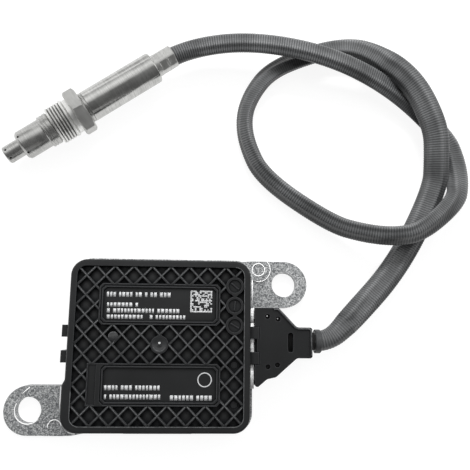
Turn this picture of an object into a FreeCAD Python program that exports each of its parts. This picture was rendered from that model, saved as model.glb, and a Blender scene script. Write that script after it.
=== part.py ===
"""Nitrogen oxide sensor: a threaded exhaust probe joined by a sleeved lead to its control unit.

Millimetres, +Z up. The origin lies midway between the two mounting holes, on the underside
of the aluminium base. X runs along the long side of the unit, towards the lead outlet.
"""
import FreeCAD, Part
import math
import os

os.makedirs("parts", exist_ok=True)
V = FreeCAD.Vector
UP = V(0, 0, 1)

# Fits between pieces and the smallest edge
SMALL_EDGE = 0.3
RUNNING_GAP = 0.08     # radius, swivelling nut on the shell
SLIP_GAP = 0.05        # radius, turned pieces pushed into one another
DROP_GAP = 0.3         # moulded and cast pieces that drop into place
SNAP_GAP = 0.15        # under a snap hook's nose

# Mounting ears of the base
HOLE_X = 61.8          # hole centres at (+HOLE_X, +HOLE_Y) and (-HOLE_X, -HOLE_Y)
HOLE_Y = 31.0
HOLE_R = 6.2
EAR_R = 11.7
EAR_T = 5.0
STAKE_X = 48.8         # round cast pad beside the cover's corner, one on each ear
STAKE_Y = 38.4
STAKE_R = 6.2
STAKE_H = 0.5
STAKE_DIMPLE_R = 3.3
STAKE_DIMPLE_D = 0.35

# Base casting
UNIT_X = 1.4           # centre of base and cover
UNIT_Y = 1.0
BASE_L = 88.4
BASE_W = 83.0
BASE_R = 9.0
BASE_H = 9.0
FLOOR_T = 3.0
FLANGE_T = 4.0
FOOT_INSET = 1.6       # how far the wall under the flange stands back
BOSS_R = 3.6
PEDESTAL = (16.0, 28.0)
PEDESTAL_AT = (13.0, 5.0)
PEDESTAL_R = 2.0
PEDESTAL_ROOT = 1.0    # how deep the pedestal runs into the floor

# Cover moulding
COVER_INSET = (2.1, 2.3)   # from the base's edge, along X and Y
COVER_L = BASE_L - 2 * COVER_INSET[0]
COVER_W = BASE_W - 2 * COVER_INSET[1]
COVER_R = 7.6
COVER_TOP = 25.0
COVER_WALL = 2.4
CEILING_T = 2.2
COVER_EDGE = 1.1
STEP_OUT = 1.2         # the lower left corner stands out by this
STEP_Y = -16.0
STEP_RUN = 2.4
RIM_W = 3.1
RIM_R = 4.2
RIM_STEP = 0.35        # rim above the tops of the ribs
POCKET_D = 2.0
CELL_COLUMNS = 9
CELL_ROWS = 8
RIB_T = 1.0
TONGUE_T = 1.2
TONGUE_D = 1.4
GROOVE_SIDE = 0.3
GROOVE_D = 2.2

# Framed label fields, (low x, low y, high x, high y), and the plain pad beside the lower one
FIELD_UPPER = (-27.0, 9.9, 29.1, 29.0)
FIELD_LOWER = (-25.5, -26.4, 29.6, -7.5)
SIDE_PAD = (-31.0, -26.4, -26.3, -7.5)
FRAME_LINE = 0.65
FRAME_GROOVE = 0.5
FRAME_CHAMFER = 1.5
FIELD_D = 0.9
FRAME_GROOVE_D = 0.45
PAD_D = 0.35

# Round features of the cover's face
CLOCK_X = 36.0
CLOCK_Y = 19.2
CLOCK_PITCH = 9.2
CLOCK_R = 4.2
CLOCK_DIAL_R = 3.1
CLOCK_D = 0.8
CLOCK_TURNS = (-40.0, 85.0, -30.0)
POINTER = (4.4, 0.7, 0.35)
GATE_R = 4.1
GATE_DISH_R = 3.2
GATE_DISH_D = 0.6
GATE_NUB_R = 1.0
GATE_NUB_H = 0.7
DOME_AT = (-19.8, 4.1)
DOME_R = 2.5
DOME_H = 0.9
EJECTOR_SPOTS = ((36.0, -8.0), (36.0, -25.8))
EJECTOR_R = 1.5
EJECTOR_H = 0.3

# Snap hooks
HOOK_W = 5.6
HOOK_PITCH = 11.8
HOOK_T = 1.5
HOOK_REACH = 4.1
HOOK_TOP_LEFT = 18.2
HOOK_NOSE = 1.3
HOOK_NOSE_H = 1.5
LATCH_DEPTH = 6.0

# Lead outlet housing
OUTLET_GAP = 0.3       # between the base's edge and the housing
OUTLET_Z0 = 0.6
OUTLET_TOP = 20.0
OUTLET_WALL = 2.0
OUTLET_L = 27.4        # from the side at the unit to the end of the neck
NECK_L = 6.4
NECK_LOW = -4.8
NECK_HIGH = 9.6
OUTLET_HIGH = 18.7
OUTLET_LOW = -19.4
OUTLET_WAIST = ((5.8, -14.5), (10.0, -13.6))   # bends of the lower edge, from the side at the unit
OUTLET_SHOULDER = 11.3 # where the upper edge turns down, from the side at the unit
OUTLET_SLANT_END = 1.0 # where the slants meet the neck, before the seal's shoulder
OUTLET_ROUND = 1.2
OUTLET_BEND_R = 2.5
LIP_W = 1.1
LIP_START = 9.0        # this and the next places from the side at the unit
LIP_H = 0.5
SLOT_AT = (17.0, 2.5)
SLOT_SIZE = (2.6, 9.2)
SLOT_D = 1.5
SLOT_END_R = 0.48      # of the slot's width
PEG_SPOTS = ((6.0, 14.6), (11.0, 13.4), (6.2, -8.8), (10.7, -7.9))
PEG_HOLE_R = 1.15
PEG_R = 0.9
PEG_DROP = 0.8
SPIGOT_Y = 2.0
SPIGOT_W = 18.0
SPIGOT_H = 6.8
SPIGOT_WALL = 1.2
SPIGOT_DROP = 1.5      # below the board's upper face

# Hose and what holds its end at the housing
HOSE_R = 4.9
HOSE_EXIT_Y = 3.0
HOSE_EXIT_Z = 11.0
HOSE_BUTT_GAP = 2.6    # from the neck's end to the hose's end
SEAL_R = 5.2
SEAL_FLANGE_R = 6.0
SEAL_FLANGE_T = 1.4
SEAL_STUB_R = 4.3
COLLAR_R = 5.75
COLLAR_L = 3.0

# Route of the hose between its two ends, from the probe round the loop to the outlet
HOSE_ROUTE = (
    (43.0, 158.8, 14.5), (84.5, 151.0, 17.0), (121.5, 137.0, 7.5), (150.0, 112.0, 5.0),
    (154.6, 99.0, 5.0), (155.4, 86.0, 8.0), (150.5, 74.0, 12.5), (130.0, 57.4, 17.0),
    (116.0, 55.0, 16.5), (102.0, 57.0, 12.5), (85.6, 62.5, 7.5), (50.9, 86.6, 5.0),
    (42.1, 105.0, 5.0), (40.4, 120.0, 5.0), (45.0, 133.5, 5.0), (54.8, 146.8, 5.0),
    (74.5, 156.6, 5.0), (93.5, 162.0, 6.0), (108.3, 158.4, 9.0), (127.8, 141.0, 17.0),
    (140.2, 114.3, 16.8), (142.0, 98.0, 12.5), (142.2, 82.5, 6.5), (122.0, 42.2, 5.0),
    (93.3, 12.6, 10.5))
HOSE_STRAIGHT_IN = 107.0   # station on the probe's axis where the lead first bends
HOSE_STRAIGHT_OUT = 7.0    # run straight out of the housing before the last bend
ARC_SHARE = 0.45       # most of a run between two bends that one arc takes up
END_SHARE = 0.7        # the same for a run at an end, which has one bend only
COLLAR_PLAY = 0.3      # round the hose, which already begins to bend there

# Circuit board and what stands on it
BOARD_INSET = 1.8      # from the cover's inner wall
THERMAL_PAD_T = 0.4            # soft pad between the base and the board
BOARD_T = 1.6
BOARD_R = 4.0
SCREW_INSET = 5.0
SCREW_R = 1.5
SCREW_HEAD_R = 2.75
SCREW_HEAD_H = 1.8
SCREW_L = 6.0
SCREW_HOLE_R = 1.7
CONTROLLER = (14.0, 1.3)
CONTROLLER_AT = (-7.0, 8.0)
LEAD_FRAME = (1.1, 0.35)
DRIVER = (9.0, 1.7)
DRIVER_SPOTS = ((13.0, 14.0), (13.0, -3.4))
CAN_R = 4.0
CAN_H = 8.2
CAN_INSET = 9.5        # from the board's left edge
CAN_YS = (20.0, 9.0)
COIL_SIZE = 8.0
COIL_H = 4.4
COIL_Y = -6.0
CRYSTAL = (5.0, 3.2, 1.1)
CRYSTAL_AT = (-7.0, 22.0)
CHIP_PART = (2.0, 1.25, 0.7)
CHIP_ROWS = 3
CHIPS_A_ROW = 6
CHIP_PITCH = 4.0
CHIP_CLEARANCE = (4.0, 1.6)   # beside the coil, and beyond the connector's pins
TERMINAL = (3.0, 1.4, 2.6)
TERMINAL_INSET = 3.3   # from the board's right edge to the terminals' outer ends
LEADS = 8
LEAD_PITCH = 1.9
LEAD_R = 0.7
LEAD_RISE = 1.9        # of the leads' row above the board
SEAL_LEAD_PITCH = 2.2
SEAL_LEAD_RISE = 1.3

# Vehicle connector in the front wall
SOCKET_X = 1.4
SOCKET_W = 32.0
SOCKET_H = 9.0
SOCKET_WALL = 1.2
SOCKET_PROUD = 0.8
SOCKET_D = 12.0
SOCKET_BACK = 3.0
PIN_COUNT = 5
PIN_PITCH = 5.4
PIN = (2.0, 0.8)
PIN_L = 7.0
PIN_TAIL = 4.0

# Probe, stations along its axis from the tip
PROBE_TIP = (-79.0, 92.8)
PROBE_Z = 13.0
PROBE_TURN = 35.0
TIP_R = 4.5
TIP_WALL = 0.4
TIP_HOLE_R = 1.2
VENT_R = 0.55
TIP_VENTS = 6
TIP_VENT_AT = 1.7
TIP_VENT_TURN = 12       # angle of the first vent from straight up
SHIELD_START = 8.8
SHIELD_R = 7.5
SHIELD_WALL = 0.5
SHIELD_NOSE = 1.2
SHIELD_VENTS = 5
SHIELD_VENT_AT = 10.4
SHIELD_VENT_TURN = 16
COLLAR_START = 22.3
SEAT_R = 8.4
SEAT_GROOVE = (0.5, 0.35)
THREAD_START = 28.0
SEAT_PLAY = 0.4
THREAD_R = 10.0
THREAD_LEAD_IN = 0.8
RELIEF_START = 36.6
RELIEF_R = 9.1
HEX_START = 39.6
HEX_END = 46.0
HEX_FLATS = 22.0
HEX_TURN = 43.0        # angle from straight up to the nearest flat's normal
HEX_CHAMFER = 0.9
SHELL_R = 7.6
SHELL_END = 52.0
SHELL_SPIGOT_L = 3.8
BORE_R = 5.45
NUT_PLAY = 0.3
RING_T = 1.5
RING_R = 7.95
SLEEVE_R = 8.1
SLEEVE_WALL = 0.6
SLEEVE_END = 88.0
SLEEVE_SHOULDER = 2.2
FERRULE_R = 5.8
FERRULE_START = 84.0
FERRULE_END = 99.5
FERRULE_FLANGE_T = 1.0
CRIMP_ROWS = (92.4, 97.2)
CRIMPS_A_ROW = 6
CRIMP_TURN = 42.0      # angle from straight up to the first flat
CRIMP_L = 3.5
CRIMP_D = 0.45
PLUG_END = 94.0
PLUG_R = 4.85
ELEMENT = (4.0, 1.6)
ELEMENT_START = 5.0
ELEMENT_END = 70.0
TIP_FLANGE_T = 0.6
SHOULDER_AT = 29.5
FRONT_BUSH_L = 5.0
POWDER_L = 5.0
REAR_BUSH_L = 8.0
PACKING_RING_T = 1.2
HOLDER_START = 53.0
HOLDER_END = 78.0
HOLDER_R = 6.6
HOLDER_SLOT = (5.2, 3.6)
HOLDER_SLOT_PLAY = 1.0   # behind the element's end
BAND_START = 60.0
BAND_L = 10.0
CONTACT = (0.7, 0.7)
CONTACT_START = 56.0
CONTACTS_A_SIDE = 4
CONTACT_PITCH = 1.0


def box(x0, y0, z0, x1, y1, z1):
    """Upright block between two corners."""
    return Part.makeBox(x1 - x0, y1 - y0, z1 - z0, V(x0, y0, z0))


def disc(x, y, z, r, h):
    """Upright cylinder standing on (x, y, z)."""
    return Part.makeCylinder(r, h, V(x, y, z))


def rounded_wire(corners):
    """Closed outline through (x, y, radius) corners, each rounded by an arc of its radius."""
    tangents = []
    count = len(corners)
    for i, (x, y, r) in enumerate(corners):
        here = V(x, y, 0)
        back = V(*corners[i - 1][:2], 0) - here
        ahead = V(*corners[(i + 1) % count][:2], 0) - here
        back.normalize()
        ahead.normalize()
        half = back.getAngle(ahead) / 2
        cut = r / math.tan(half) if r > 0 else 0.0
        middle = back + ahead
        if r > 0:
            middle.normalize()
            crown = here + middle * (r / math.sin(half) - r)
        else:
            crown = here
        tangents.append((here + back * cut, crown, here + ahead * cut, r > 0))
    edges = []
    for i, (start, crown, end, is_round) in enumerate(tangents):
        if is_round:
            edges.append(Part.Arc(start, crown, end).toShape())
        following = tangents[(i + 1) % count][0]
        if end.distanceToPoint(following) > 1e-6:
            edges.append(Part.LineSegment(end, following).toShape())
    return Part.Wire(edges)


def plate(corners, z0, z1):
    """Flat plate with a rounded outline, between two heights."""
    face = Part.Face(rounded_wire(corners))
    face.translate(V(0, 0, z0))
    return face.extrude(V(0, 0, z1 - z0))


def slab(x0, y0, x1, y1, r, z0, z1):
    """Rectangular plate with four equal rounded corners."""
    return plate(((x0, y0, r), (x1, y0, r), (x1, y1, r), (x0, y1, r)), z0, z1)


def unit_slab(length, width, r, z0, z1):
    """Rectangular plate centred on the control unit."""
    return slab(UNIT_X - length / 2, UNIT_Y - width / 2, UNIT_X + length / 2, UNIT_Y + width / 2,
                r, z0, z1)


def fused(shapes):
    """One solid from several that touch or overlap."""
    first, *rest = shapes
    return first.multiFuse(rest).removeSplitter()


def group(shapes):
    """Several separate solids of one node."""
    return Part.makeCompound(shapes)


def turned(profile):
    """Solid of revolution about the probe's axis from (station, radius) points."""
    points = [V(u, 0, r) for u, r in profile]
    face = Part.Face(Part.makePolygon(points + points[:1]))
    return face.revolve(V(0, 0, 0), V(1, 0, 0), 360)


def tube(u0, u1, outer, inner):
    """Plain ring or tube on the probe's axis."""
    return turned(((u0, inner), (u1, inner), (u1, outer), (u0, outer)))


def rod(u0, u1, r):
    """Plain cylinder on the probe's axis."""
    return Part.makeCylinder(r, u1 - u0, V(u0, 0, 0), V(1, 0, 0))


def radial_holes(u, r, reach, count, phase=0.0):
    """Ring of round drills that point outwards from the probe's axis."""
    drills = []
    for k in range(count):
        angle = math.radians(phase + 360.0 * k / count)
        drills.append(Part.makeCylinder(r, reach, V(u, 0, 0), V(0, math.sin(angle), math.cos(angle))))
    return group(drills)


def on_probe(shape):
    """Carry a shape from the probe's own axis to its place beside the control unit."""
    placed = shape.copy()
    placed.rotate(V(0, 0, 0), UP, PROBE_TURN)
    placed.translate(V(PROBE_TIP[0], PROBE_TIP[1], PROBE_Z))
    return placed


def probe_point(u):
    """Point of the probe's axis at a station."""
    turn = math.radians(PROBE_TURN)
    return V(PROBE_TIP[0] + u * math.cos(turn), PROBE_TIP[1] + u * math.sin(turn), PROBE_Z)


def rounded_path(points):
    """Straight runs joined by tangent arcs, each as large as its two runs allow."""
    edges = []
    radii = []
    start = points[0]
    shares = [END_SHARE] + [ARC_SHARE] * (len(points) - 3) + [END_SHARE]
    bends = zip(points, points[1:], points[2:], shares, shares[1:])
    for before, corner, after, share_in, share_out in bends:
        come = corner - before
        leave = after - corner
        cut = min(share_in * come.Length, share_out * leave.Length)
        come.normalize()
        leave.normalize()
        turn = come.getAngle(leave)
        radius = cut / math.tan(turn / 2)
        inward = leave - come
        inward.normalize()
        entry = corner - come * cut
        crown = corner + inward * (radius / math.cos(turn / 2) - radius)
        leaving = corner + leave * cut
        edges.append(Part.LineSegment(start, entry).toShape())
        edges.append(Part.Arc(entry, crown, leaving).toShape())
        radii.append(radius)
        start = leaving
    edges.append(Part.LineSegment(start, points[-1]).toShape())
    return Part.Wire(edges), radii


def tube_along(points, r):
    """Round solid swept along a rounded path."""
    path, radii = rounded_path(points)
    along = points[1] - points[0]
    section = Part.Wire([Part.Circle(points[0], along, r).toShape()])
    solid = path.makePipeShell([section], True, False)
    return solid, path.Length, radii


def save(name, shape):
    """Write one node and report its volume."""
    shape.exportStep(f"parts/{name}.step")
    print(f"{name}: {len(shape.Solids)} solid(s), {shape.Volume:.1f} mm3, valid {shape.isValid()}")


# Places that follow from the driving dimensions
BASE_RIGHT = UNIT_X + BASE_L / 2
COVER_LEFT = UNIT_X - COVER_L / 2
COVER_RIGHT = UNIT_X + COVER_L / 2
COVER_LOW = UNIT_Y - COVER_W / 2
COVER_HIGH = UNIT_Y + COVER_W / 2
RIB_TOP = COVER_TOP - RIM_STEP
POCKET_FLOOR = RIB_TOP - POCKET_D
CEILING = POCKET_FLOOR - CEILING_T
BOARD_Z = BASE_H + THERMAL_PAD_T
BOARD_TOP = BOARD_Z + BOARD_T
SPIGOT_Z0 = BOARD_TOP - SPIGOT_DROP
LEAD_Z = BOARD_TOP + LEAD_RISE
INNER_L = COVER_L - 2 * COVER_WALL
INNER_W = COVER_W - 2 * COVER_WALL
BOARD_L = INNER_L - 2 * BOARD_INSET
BOARD_W = INNER_W - 2 * BOARD_INSET
SCREW_SPOTS = [(UNIT_X + sx * (BOARD_L / 2 - SCREW_INSET), UNIT_Y + sy * (BOARD_W / 2 - SCREW_INSET))
               for sx in (-1, 1) for sy in (-1, 1)]
HOOK_YS = (UNIT_Y - HOOK_PITCH / 2, UNIT_Y + HOOK_PITCH / 2)
BOARD_LEFT = UNIT_X - BOARD_L / 2
CAN_SPOTS = [(BOARD_LEFT + CAN_INSET, y) for y in CAN_YS]
COIL_AT = (BOARD_LEFT + CAN_INSET, COIL_Y)
TERMINAL_X = UNIT_X + BOARD_L / 2 - TERMINAL_INSET - TERMINAL[0]
OUTLET_X0 = BASE_RIGHT + OUTLET_GAP
NECK_END = OUTLET_X0 + OUTLET_L
NECK_X = NECK_END - NECK_L
HOSE_EXIT_X = NECK_END + HOSE_BUTT_GAP
SOCKET_Z0 = BOARD_TOP
SOCKET_Z1 = SOCKET_Z0 + SOCKET_H
SOCKET_FRONT = COVER_LOW - SOCKET_PROUD
PIN_Z = (SOCKET_Z0 + SOCKET_Z1) / 2
PIN_END = SOCKET_FRONT + SOCKET_D + SOCKET_BACK + PIN_TAIL
CHIPS_AT = (COIL_AT[0] + COIL_SIZE / 2 + CHIP_CLEARANCE[0] + CHIP_PART[0] / 2,
            PIN_END + CHIP_CLEARANCE[1] + CHIP_PART[1] / 2 + (CHIP_ROWS - 1) * CHIP_PITCH)
PIN_XS = [SOCKET_X + (k - (PIN_COUNT - 1) / 2) * PIN_PITCH for k in range(PIN_COUNT)]


def cover_ring(outset, inset, z0, z1):
    """Ring that follows the cover's wall, from outset outside its middle line to inset inside it."""
    middle = COVER_WALL / 2
    outer = unit_slab(COVER_L - 2 * (middle - outset), COVER_W - 2 * (middle - outset),
                      COVER_R - middle + outset, z0, z1)
    inner = unit_slab(COVER_L - 2 * (middle + inset), COVER_W - 2 * (middle + inset),
                      COVER_R - middle - inset, z0, z1)
    return outer.cut(inner)


def ear(side):
    """Mounting ear with a root that runs tangent into the foot of the base."""
    edge = UNIT_Y + side * (BASE_W / 2 - FOOT_INSET)
    root = side * (UNIT_X * side + BASE_L / 2 - BASE_R - FOOT_INSET)
    near = side * (HOLE_Y - EAR_R)
    far = side * (HOLE_Y + EAR_R)
    blend = root - side * EAR_R
    tab = plate(((side * HOLE_X, near, 0), (root, near, 0), (blend, edge, 0),
                 (root + side * BASE_R, far, EAR_R), (side * HOLE_X, far, 0))[::side], 0, EAR_T)
    tab = fused((tab, disc(side * HOLE_X, side * HOLE_Y, 0, EAR_R, EAR_T)))
    pad = disc(side * STAKE_X, side * STAKE_Y, 0, STAKE_R, EAR_T + STAKE_H)
    window = box(-HOLE_X, -HOLE_Y - EAR_R, 0, HOLE_X, HOLE_Y + EAR_R, EAR_T + STAKE_H)
    return fused((tab, pad.common(window)))


def make_base():
    """Die-cast base: foot, flange, tray, screw bosses, heat pedestal and two ears."""
    foot = unit_slab(BASE_L - 2 * FOOT_INSET, BASE_W - 2 * FOOT_INSET, BASE_R - FOOT_INSET,
                     0, BASE_H - FLANGE_T)
    flange = unit_slab(BASE_L, BASE_W, BASE_R, BASE_H - FLANGE_T, BASE_H)
    body = fused((foot, flange, ear(1), ear(-1)))
    body = body.cut(unit_slab(BOARD_L, BOARD_W, BOARD_R, FLOOR_T, BASE_H))
    grown = TONGUE_T / 2 + GROOVE_SIDE
    body = body.cut(cover_ring(grown, grown, BASE_H - GROOVE_D, BASE_H))
    stands = [disc(x, y, 0, BOSS_R, BOARD_Z) for x, y in SCREW_SPOTS]
    px, py = PEDESTAL_AT
    length, width = PEDESTAL
    stands.append(slab(px - length / 2, py - width / 2, px + length / 2, py + width / 2, PEDESTAL_R,
                       FLOOR_T - PEDESTAL_ROOT, BASE_H))
    body = fused([body] + stands)
    drills = [disc(x, y, BOARD_Z - SCREW_L - BOARD_T, SCREW_R + SLIP_GAP, SCREW_L + BOARD_T)
              for x, y in SCREW_SPOTS]
    for side in (-1, 1):
        drills.append(disc(side * HOLE_X, side * HOLE_Y, 0, HOLE_R, EAR_T))
        drills.append(disc(side * STAKE_X, side * STAKE_Y, EAR_T + STAKE_H - STAKE_DIMPLE_D,
                           STAKE_DIMPLE_R, STAKE_DIMPLE_D))
    return body.cut(group(drills)).removeSplitter()


def cover_outline(inset, r):
    """Corners of the cover's outline, set in from the outside; the lower left corner steps out."""
    left = COVER_LEFT + inset
    out = left - STEP_OUT
    return ((COVER_RIGHT - inset, COVER_LOW + inset, r), (COVER_RIGHT - inset, COVER_HIGH - inset, r),
            (left, COVER_HIGH - inset, r), (left, STEP_Y + STEP_RUN / 2, 0.8),
            (out, STEP_Y - STEP_RUN / 2, 0.8), (out, COVER_LOW + inset, r))


def chamfered(rect, c, z0, z1):
    """Rectangular block with its four corners cut off."""
    x0, y0, x1, y1 = rect
    corners = ((x0 + c, y0), (x1 - c, y0), (x1, y0 + c), (x1, y1 - c),
               (x1 - c, y1), (x0 + c, y1), (x0, y1 - c), (x0, y0 + c))
    return plate([(x, y, 0) for x, y in corners], z0, z1)


def shrunk(rect, d):
    """Rectangle set in by d on every side."""
    x0, y0, x1, y1 = rect
    return (x0 + d, y0 + d, x1 - d, y1 - d)


def clock_places():
    """Centres of the three date clocks, upper first."""
    return [(CLOCK_X, CLOCK_Y + (1 - k) * CLOCK_PITCH) for k in range(3)]


def rib_cells():
    """Diamond pockets between the crossed ribs, clear of the fields, clocks and gate."""
    length = COVER_L - 2 * RIM_W
    width = COVER_W - 2 * RIM_W
    half_x = length / CELL_COLUMNS / 2
    half_y = width / CELL_ROWS / 2
    to_side = half_x * half_y / math.hypot(half_x, half_y)
    share = 1 - RIB_T / 2 / to_side
    a = half_x * share
    b = half_y * share
    cells = []
    for i in range(2 * CELL_COLUMNS + 1):
        for j in range(2 * CELL_ROWS + 1):
            if (i + j) % 2 == 0:
                continue
            x = UNIT_X - length / 2 + i * half_x
            y = UNIT_Y + width / 2 - j * half_y
            corners = ((x - a, y, 0), (x, y - b, 0), (x + a, y, 0), (x, y + b, 0))
            cells.append(plate(corners, POCKET_FLOOR, RIB_TOP))
    region = unit_slab(length, width, RIM_R, POCKET_FLOOR, RIB_TOP)
    keep = [chamfered(rect, FRAME_CHAMFER, POCKET_FLOOR, RIB_TOP) for rect in (FIELD_UPPER, FIELD_LOWER)]
    keep.append(box(SIDE_PAD[0], SIDE_PAD[1], POCKET_FLOOR, FIELD_LOWER[0] + FRAME_CHAMFER, SIDE_PAD[3],
                    RIB_TOP))
    keep += [disc(x, y, POCKET_FLOOR, CLOCK_R, POCKET_D) for x, y in clock_places()]
    keep.append(disc(UNIT_X, UNIT_Y, POCKET_FLOOR, GATE_R, POCKET_D))
    region = region.cut(keep[0].multiFuse(keep[1:]))
    return region.common(group(cells))


def face_details():
    """What is sunk into the cover's face, and what stands up in it."""
    sunk = [unit_slab(COVER_L - 2 * RIM_W, COVER_W - 2 * RIM_W, RIM_R, RIB_TOP, COVER_TOP)]
    raised = []
    for rect in (FIELD_UPPER, FIELD_LOWER):
        line = shrunk(rect, FRAME_LINE)
        band = chamfered(line, FRAME_CHAMFER, RIB_TOP - FRAME_GROOVE_D, RIB_TOP)
        inner = chamfered(shrunk(line, FRAME_GROOVE), FRAME_CHAMFER, RIB_TOP - FRAME_GROOVE_D, RIB_TOP)
        sunk.append(band.cut(inner))
        sunk.append(chamfered(shrunk(line, FRAME_GROOVE + FRAME_LINE), FRAME_CHAMFER,
                              RIB_TOP - FIELD_D, RIB_TOP))
    x0, y0, x1, y1 = shrunk(SIDE_PAD, FRAME_LINE)
    sunk.append(box(x0, y0, RIB_TOP - PAD_D, x1, y1, RIB_TOP))
    length, width, height = POINTER
    for (x, y), angle in zip(clock_places(), CLOCK_TURNS):
        sunk.append(disc(x, y, RIB_TOP - CLOCK_D, CLOCK_DIAL_R, CLOCK_D))
        pointer = box(-length / 2, -width / 2, RIB_TOP - CLOCK_D, length / 2, width / 2,
                      RIB_TOP - CLOCK_D + height)
        pointer.rotate(V(0, 0, 0), UP, angle)
        pointer.translate(V(x, y, 0))
        raised.append(pointer)
    sunk.append(disc(UNIT_X, UNIT_Y, RIB_TOP - GATE_DISH_D, GATE_DISH_R, GATE_DISH_D))
    raised.append(disc(UNIT_X, UNIT_Y, RIB_TOP - GATE_DISH_D, GATE_NUB_R, GATE_NUB_H))
    ball = (DOME_R ** 2 + DOME_H ** 2) / (2 * DOME_H)
    dome = Part.makeSphere(ball, V(DOME_AT[0], DOME_AT[1], RIB_TOP - POCKET_D / 2 + DOME_H - ball))
    stem = disc(DOME_AT[0], DOME_AT[1], POCKET_FLOOR, DOME_R, POCKET_D + DOME_H)
    raised.append(stem.common(fused((dome, disc(DOME_AT[0], DOME_AT[1], POCKET_FLOOR, DOME_R,
                                                 POCKET_D / 2)))))
    raised += [disc(x, y, POCKET_FLOOR, EJECTOR_R, EJECTOR_H) for x, y in EJECTOR_SPOTS]
    return sunk, raised


def left_hook(y):
    """Snap hook that reaches down past the flange and catches under it."""
    outer = COVER_LEFT - HOOK_REACH
    y0 = y - HOOK_W / 2
    y1 = y + HOOK_W / 2
    catch = BASE_H - FLANGE_T - SNAP_GAP
    bridge = box(outer, y0, HOOK_TOP_LEFT - HOOK_T, COVER_LEFT + COVER_WALL / 2, y1, HOOK_TOP_LEFT)
    leg = box(outer, y0, catch - HOOK_NOSE_H, outer + HOOK_T, y1, HOOK_TOP_LEFT)
    tip = outer + HOOK_T + HOOK_NOSE
    nose = Part.Face(Part.makePolygon([V(outer + HOOK_T, y0, catch), V(tip, y0, catch),
                                       V(outer + HOOK_T, y0, catch - HOOK_NOSE_H),
                                       V(outer + HOOK_T, y0, catch)])).extrude(V(0, HOOK_W, 0))
    return fused((bridge, leg, nose))


def latch_tab(y):
    """Strap that bridges to the outlet housing and drops into a notch in its top."""
    outer = OUTLET_X0 + OUTLET_WALL
    y0 = y - HOOK_W / 2
    y1 = y + HOOK_W / 2
    top = OUTLET_TOP + DROP_GAP
    bridge = box(COVER_RIGHT - COVER_WALL / 2, y0, top - HOOK_T, outer, y1, top)
    drop = box(outer - HOOK_T + DROP_GAP, y0, top - LATCH_DEPTH, outer, y1, top)
    return fused((bridge, drop))


def make_cover():
    """Moulded cover: ribbed face with framed fields, hollow body, sealing tongue and hooks."""
    body = plate(cover_outline(0, COVER_R), BASE_H, COVER_TOP)
    top_edges = [e for e in body.Edges if e.BoundBox.ZMin > COVER_TOP - 1e-4]
    body = body.makeFillet(COVER_EDGE, top_edges)
    body = body.cut(unit_slab(INNER_L, INNER_W, COVER_R - COVER_WALL, BASE_H, CEILING))
    sunk, raised = face_details()
    body = body.cut(group(sunk[:1]))
    body = body.cut(rib_cells())
    body = body.cut(group(sunk[1:]))
    extras = raised + [left_hook(y) for y in HOOK_YS] + [latch_tab(y) for y in HOOK_YS]
    extras.append(cover_ring(TONGUE_T / 2, TONGUE_T / 2, BASE_H - TONGUE_D, BASE_H))
    body = body.multiFuse(extras)
    lead_window = box(COVER_RIGHT - 2 * COVER_WALL, SPIGOT_Y - SPIGOT_W / 2 - DROP_GAP,
                      SPIGOT_Z0 - DROP_GAP, COVER_RIGHT + 1, SPIGOT_Y + SPIGOT_W / 2 + DROP_GAP,
                      SPIGOT_Z0 + SPIGOT_H + DROP_GAP)
    socket_window = box(SOCKET_X - SOCKET_W / 2 - DROP_GAP, COVER_LOW - 1, SOCKET_Z0 - DROP_GAP,
                        SOCKET_X + SOCKET_W / 2 + DROP_GAP, COVER_LOW + 2 * COVER_WALL,
                        min(SOCKET_Z1 + DROP_GAP, CEILING))
    return body.cut(group((lead_window, socket_window))).removeSplitter()


def make_seal():
    """Sealing ring at the bottom of the groove, under the cover's tongue."""
    grown = TONGUE_T / 2 + GROOVE_SIDE
    return cover_ring(grown, grown, BASE_H - GROOVE_D, BASE_H - TONGUE_D)


def inset(corners, d):
    """Outline with every side moved in by d; outer corners lose that radius and inner ones gain it."""
    sides = []
    for (x0, y0, _), (x1, y1, _) in zip(corners, corners[1:] + corners[:1]):
        along = V(x1 - x0, y1 - y0, 0)
        along.normalize()
        sides.append((V(x0, y0, 0) + UP.cross(along) * d, along))
    moved = []
    for i, corner in enumerate(corners):
        (a, u), (b, v) = sides[i - 1], sides[i]
        turn = u.cross(v).z
        place = a + u * ((b - a).cross(v).z / turn)
        radius = corner[2] - d * math.copysign(1, turn)
        moved.append((place.x, place.y, max(radius, SMALL_EDGE)))
    return moved


def outlet_plate(wall, z0, z1):
    """Plate in the housing's outline: wide at the unit, drawn in by slants to a square neck."""
    slant_end = NECK_X - OUTLET_SLANT_END
    corners = [(OUTLET_X0, OUTLET_LOW, OUTLET_ROUND)]
    corners += [(OUTLET_X0 + x, y, OUTLET_BEND_R) for x, y in OUTLET_WAIST]
    corners += [(slant_end, NECK_LOW, OUTLET_BEND_R), (NECK_END, NECK_LOW, OUTLET_ROUND),
                (NECK_END, NECK_HIGH, OUTLET_ROUND), (slant_end, NECK_HIGH, OUTLET_BEND_R),
                (OUTLET_X0 + OUTLET_SHOULDER, OUTLET_HIGH, OUTLET_ROUND),
                (OUTLET_X0, OUTLET_HIGH, SMALL_EDGE)]
    return plate(inset(corners, wall) if wall > 0 else corners, z0, z1)


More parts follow.
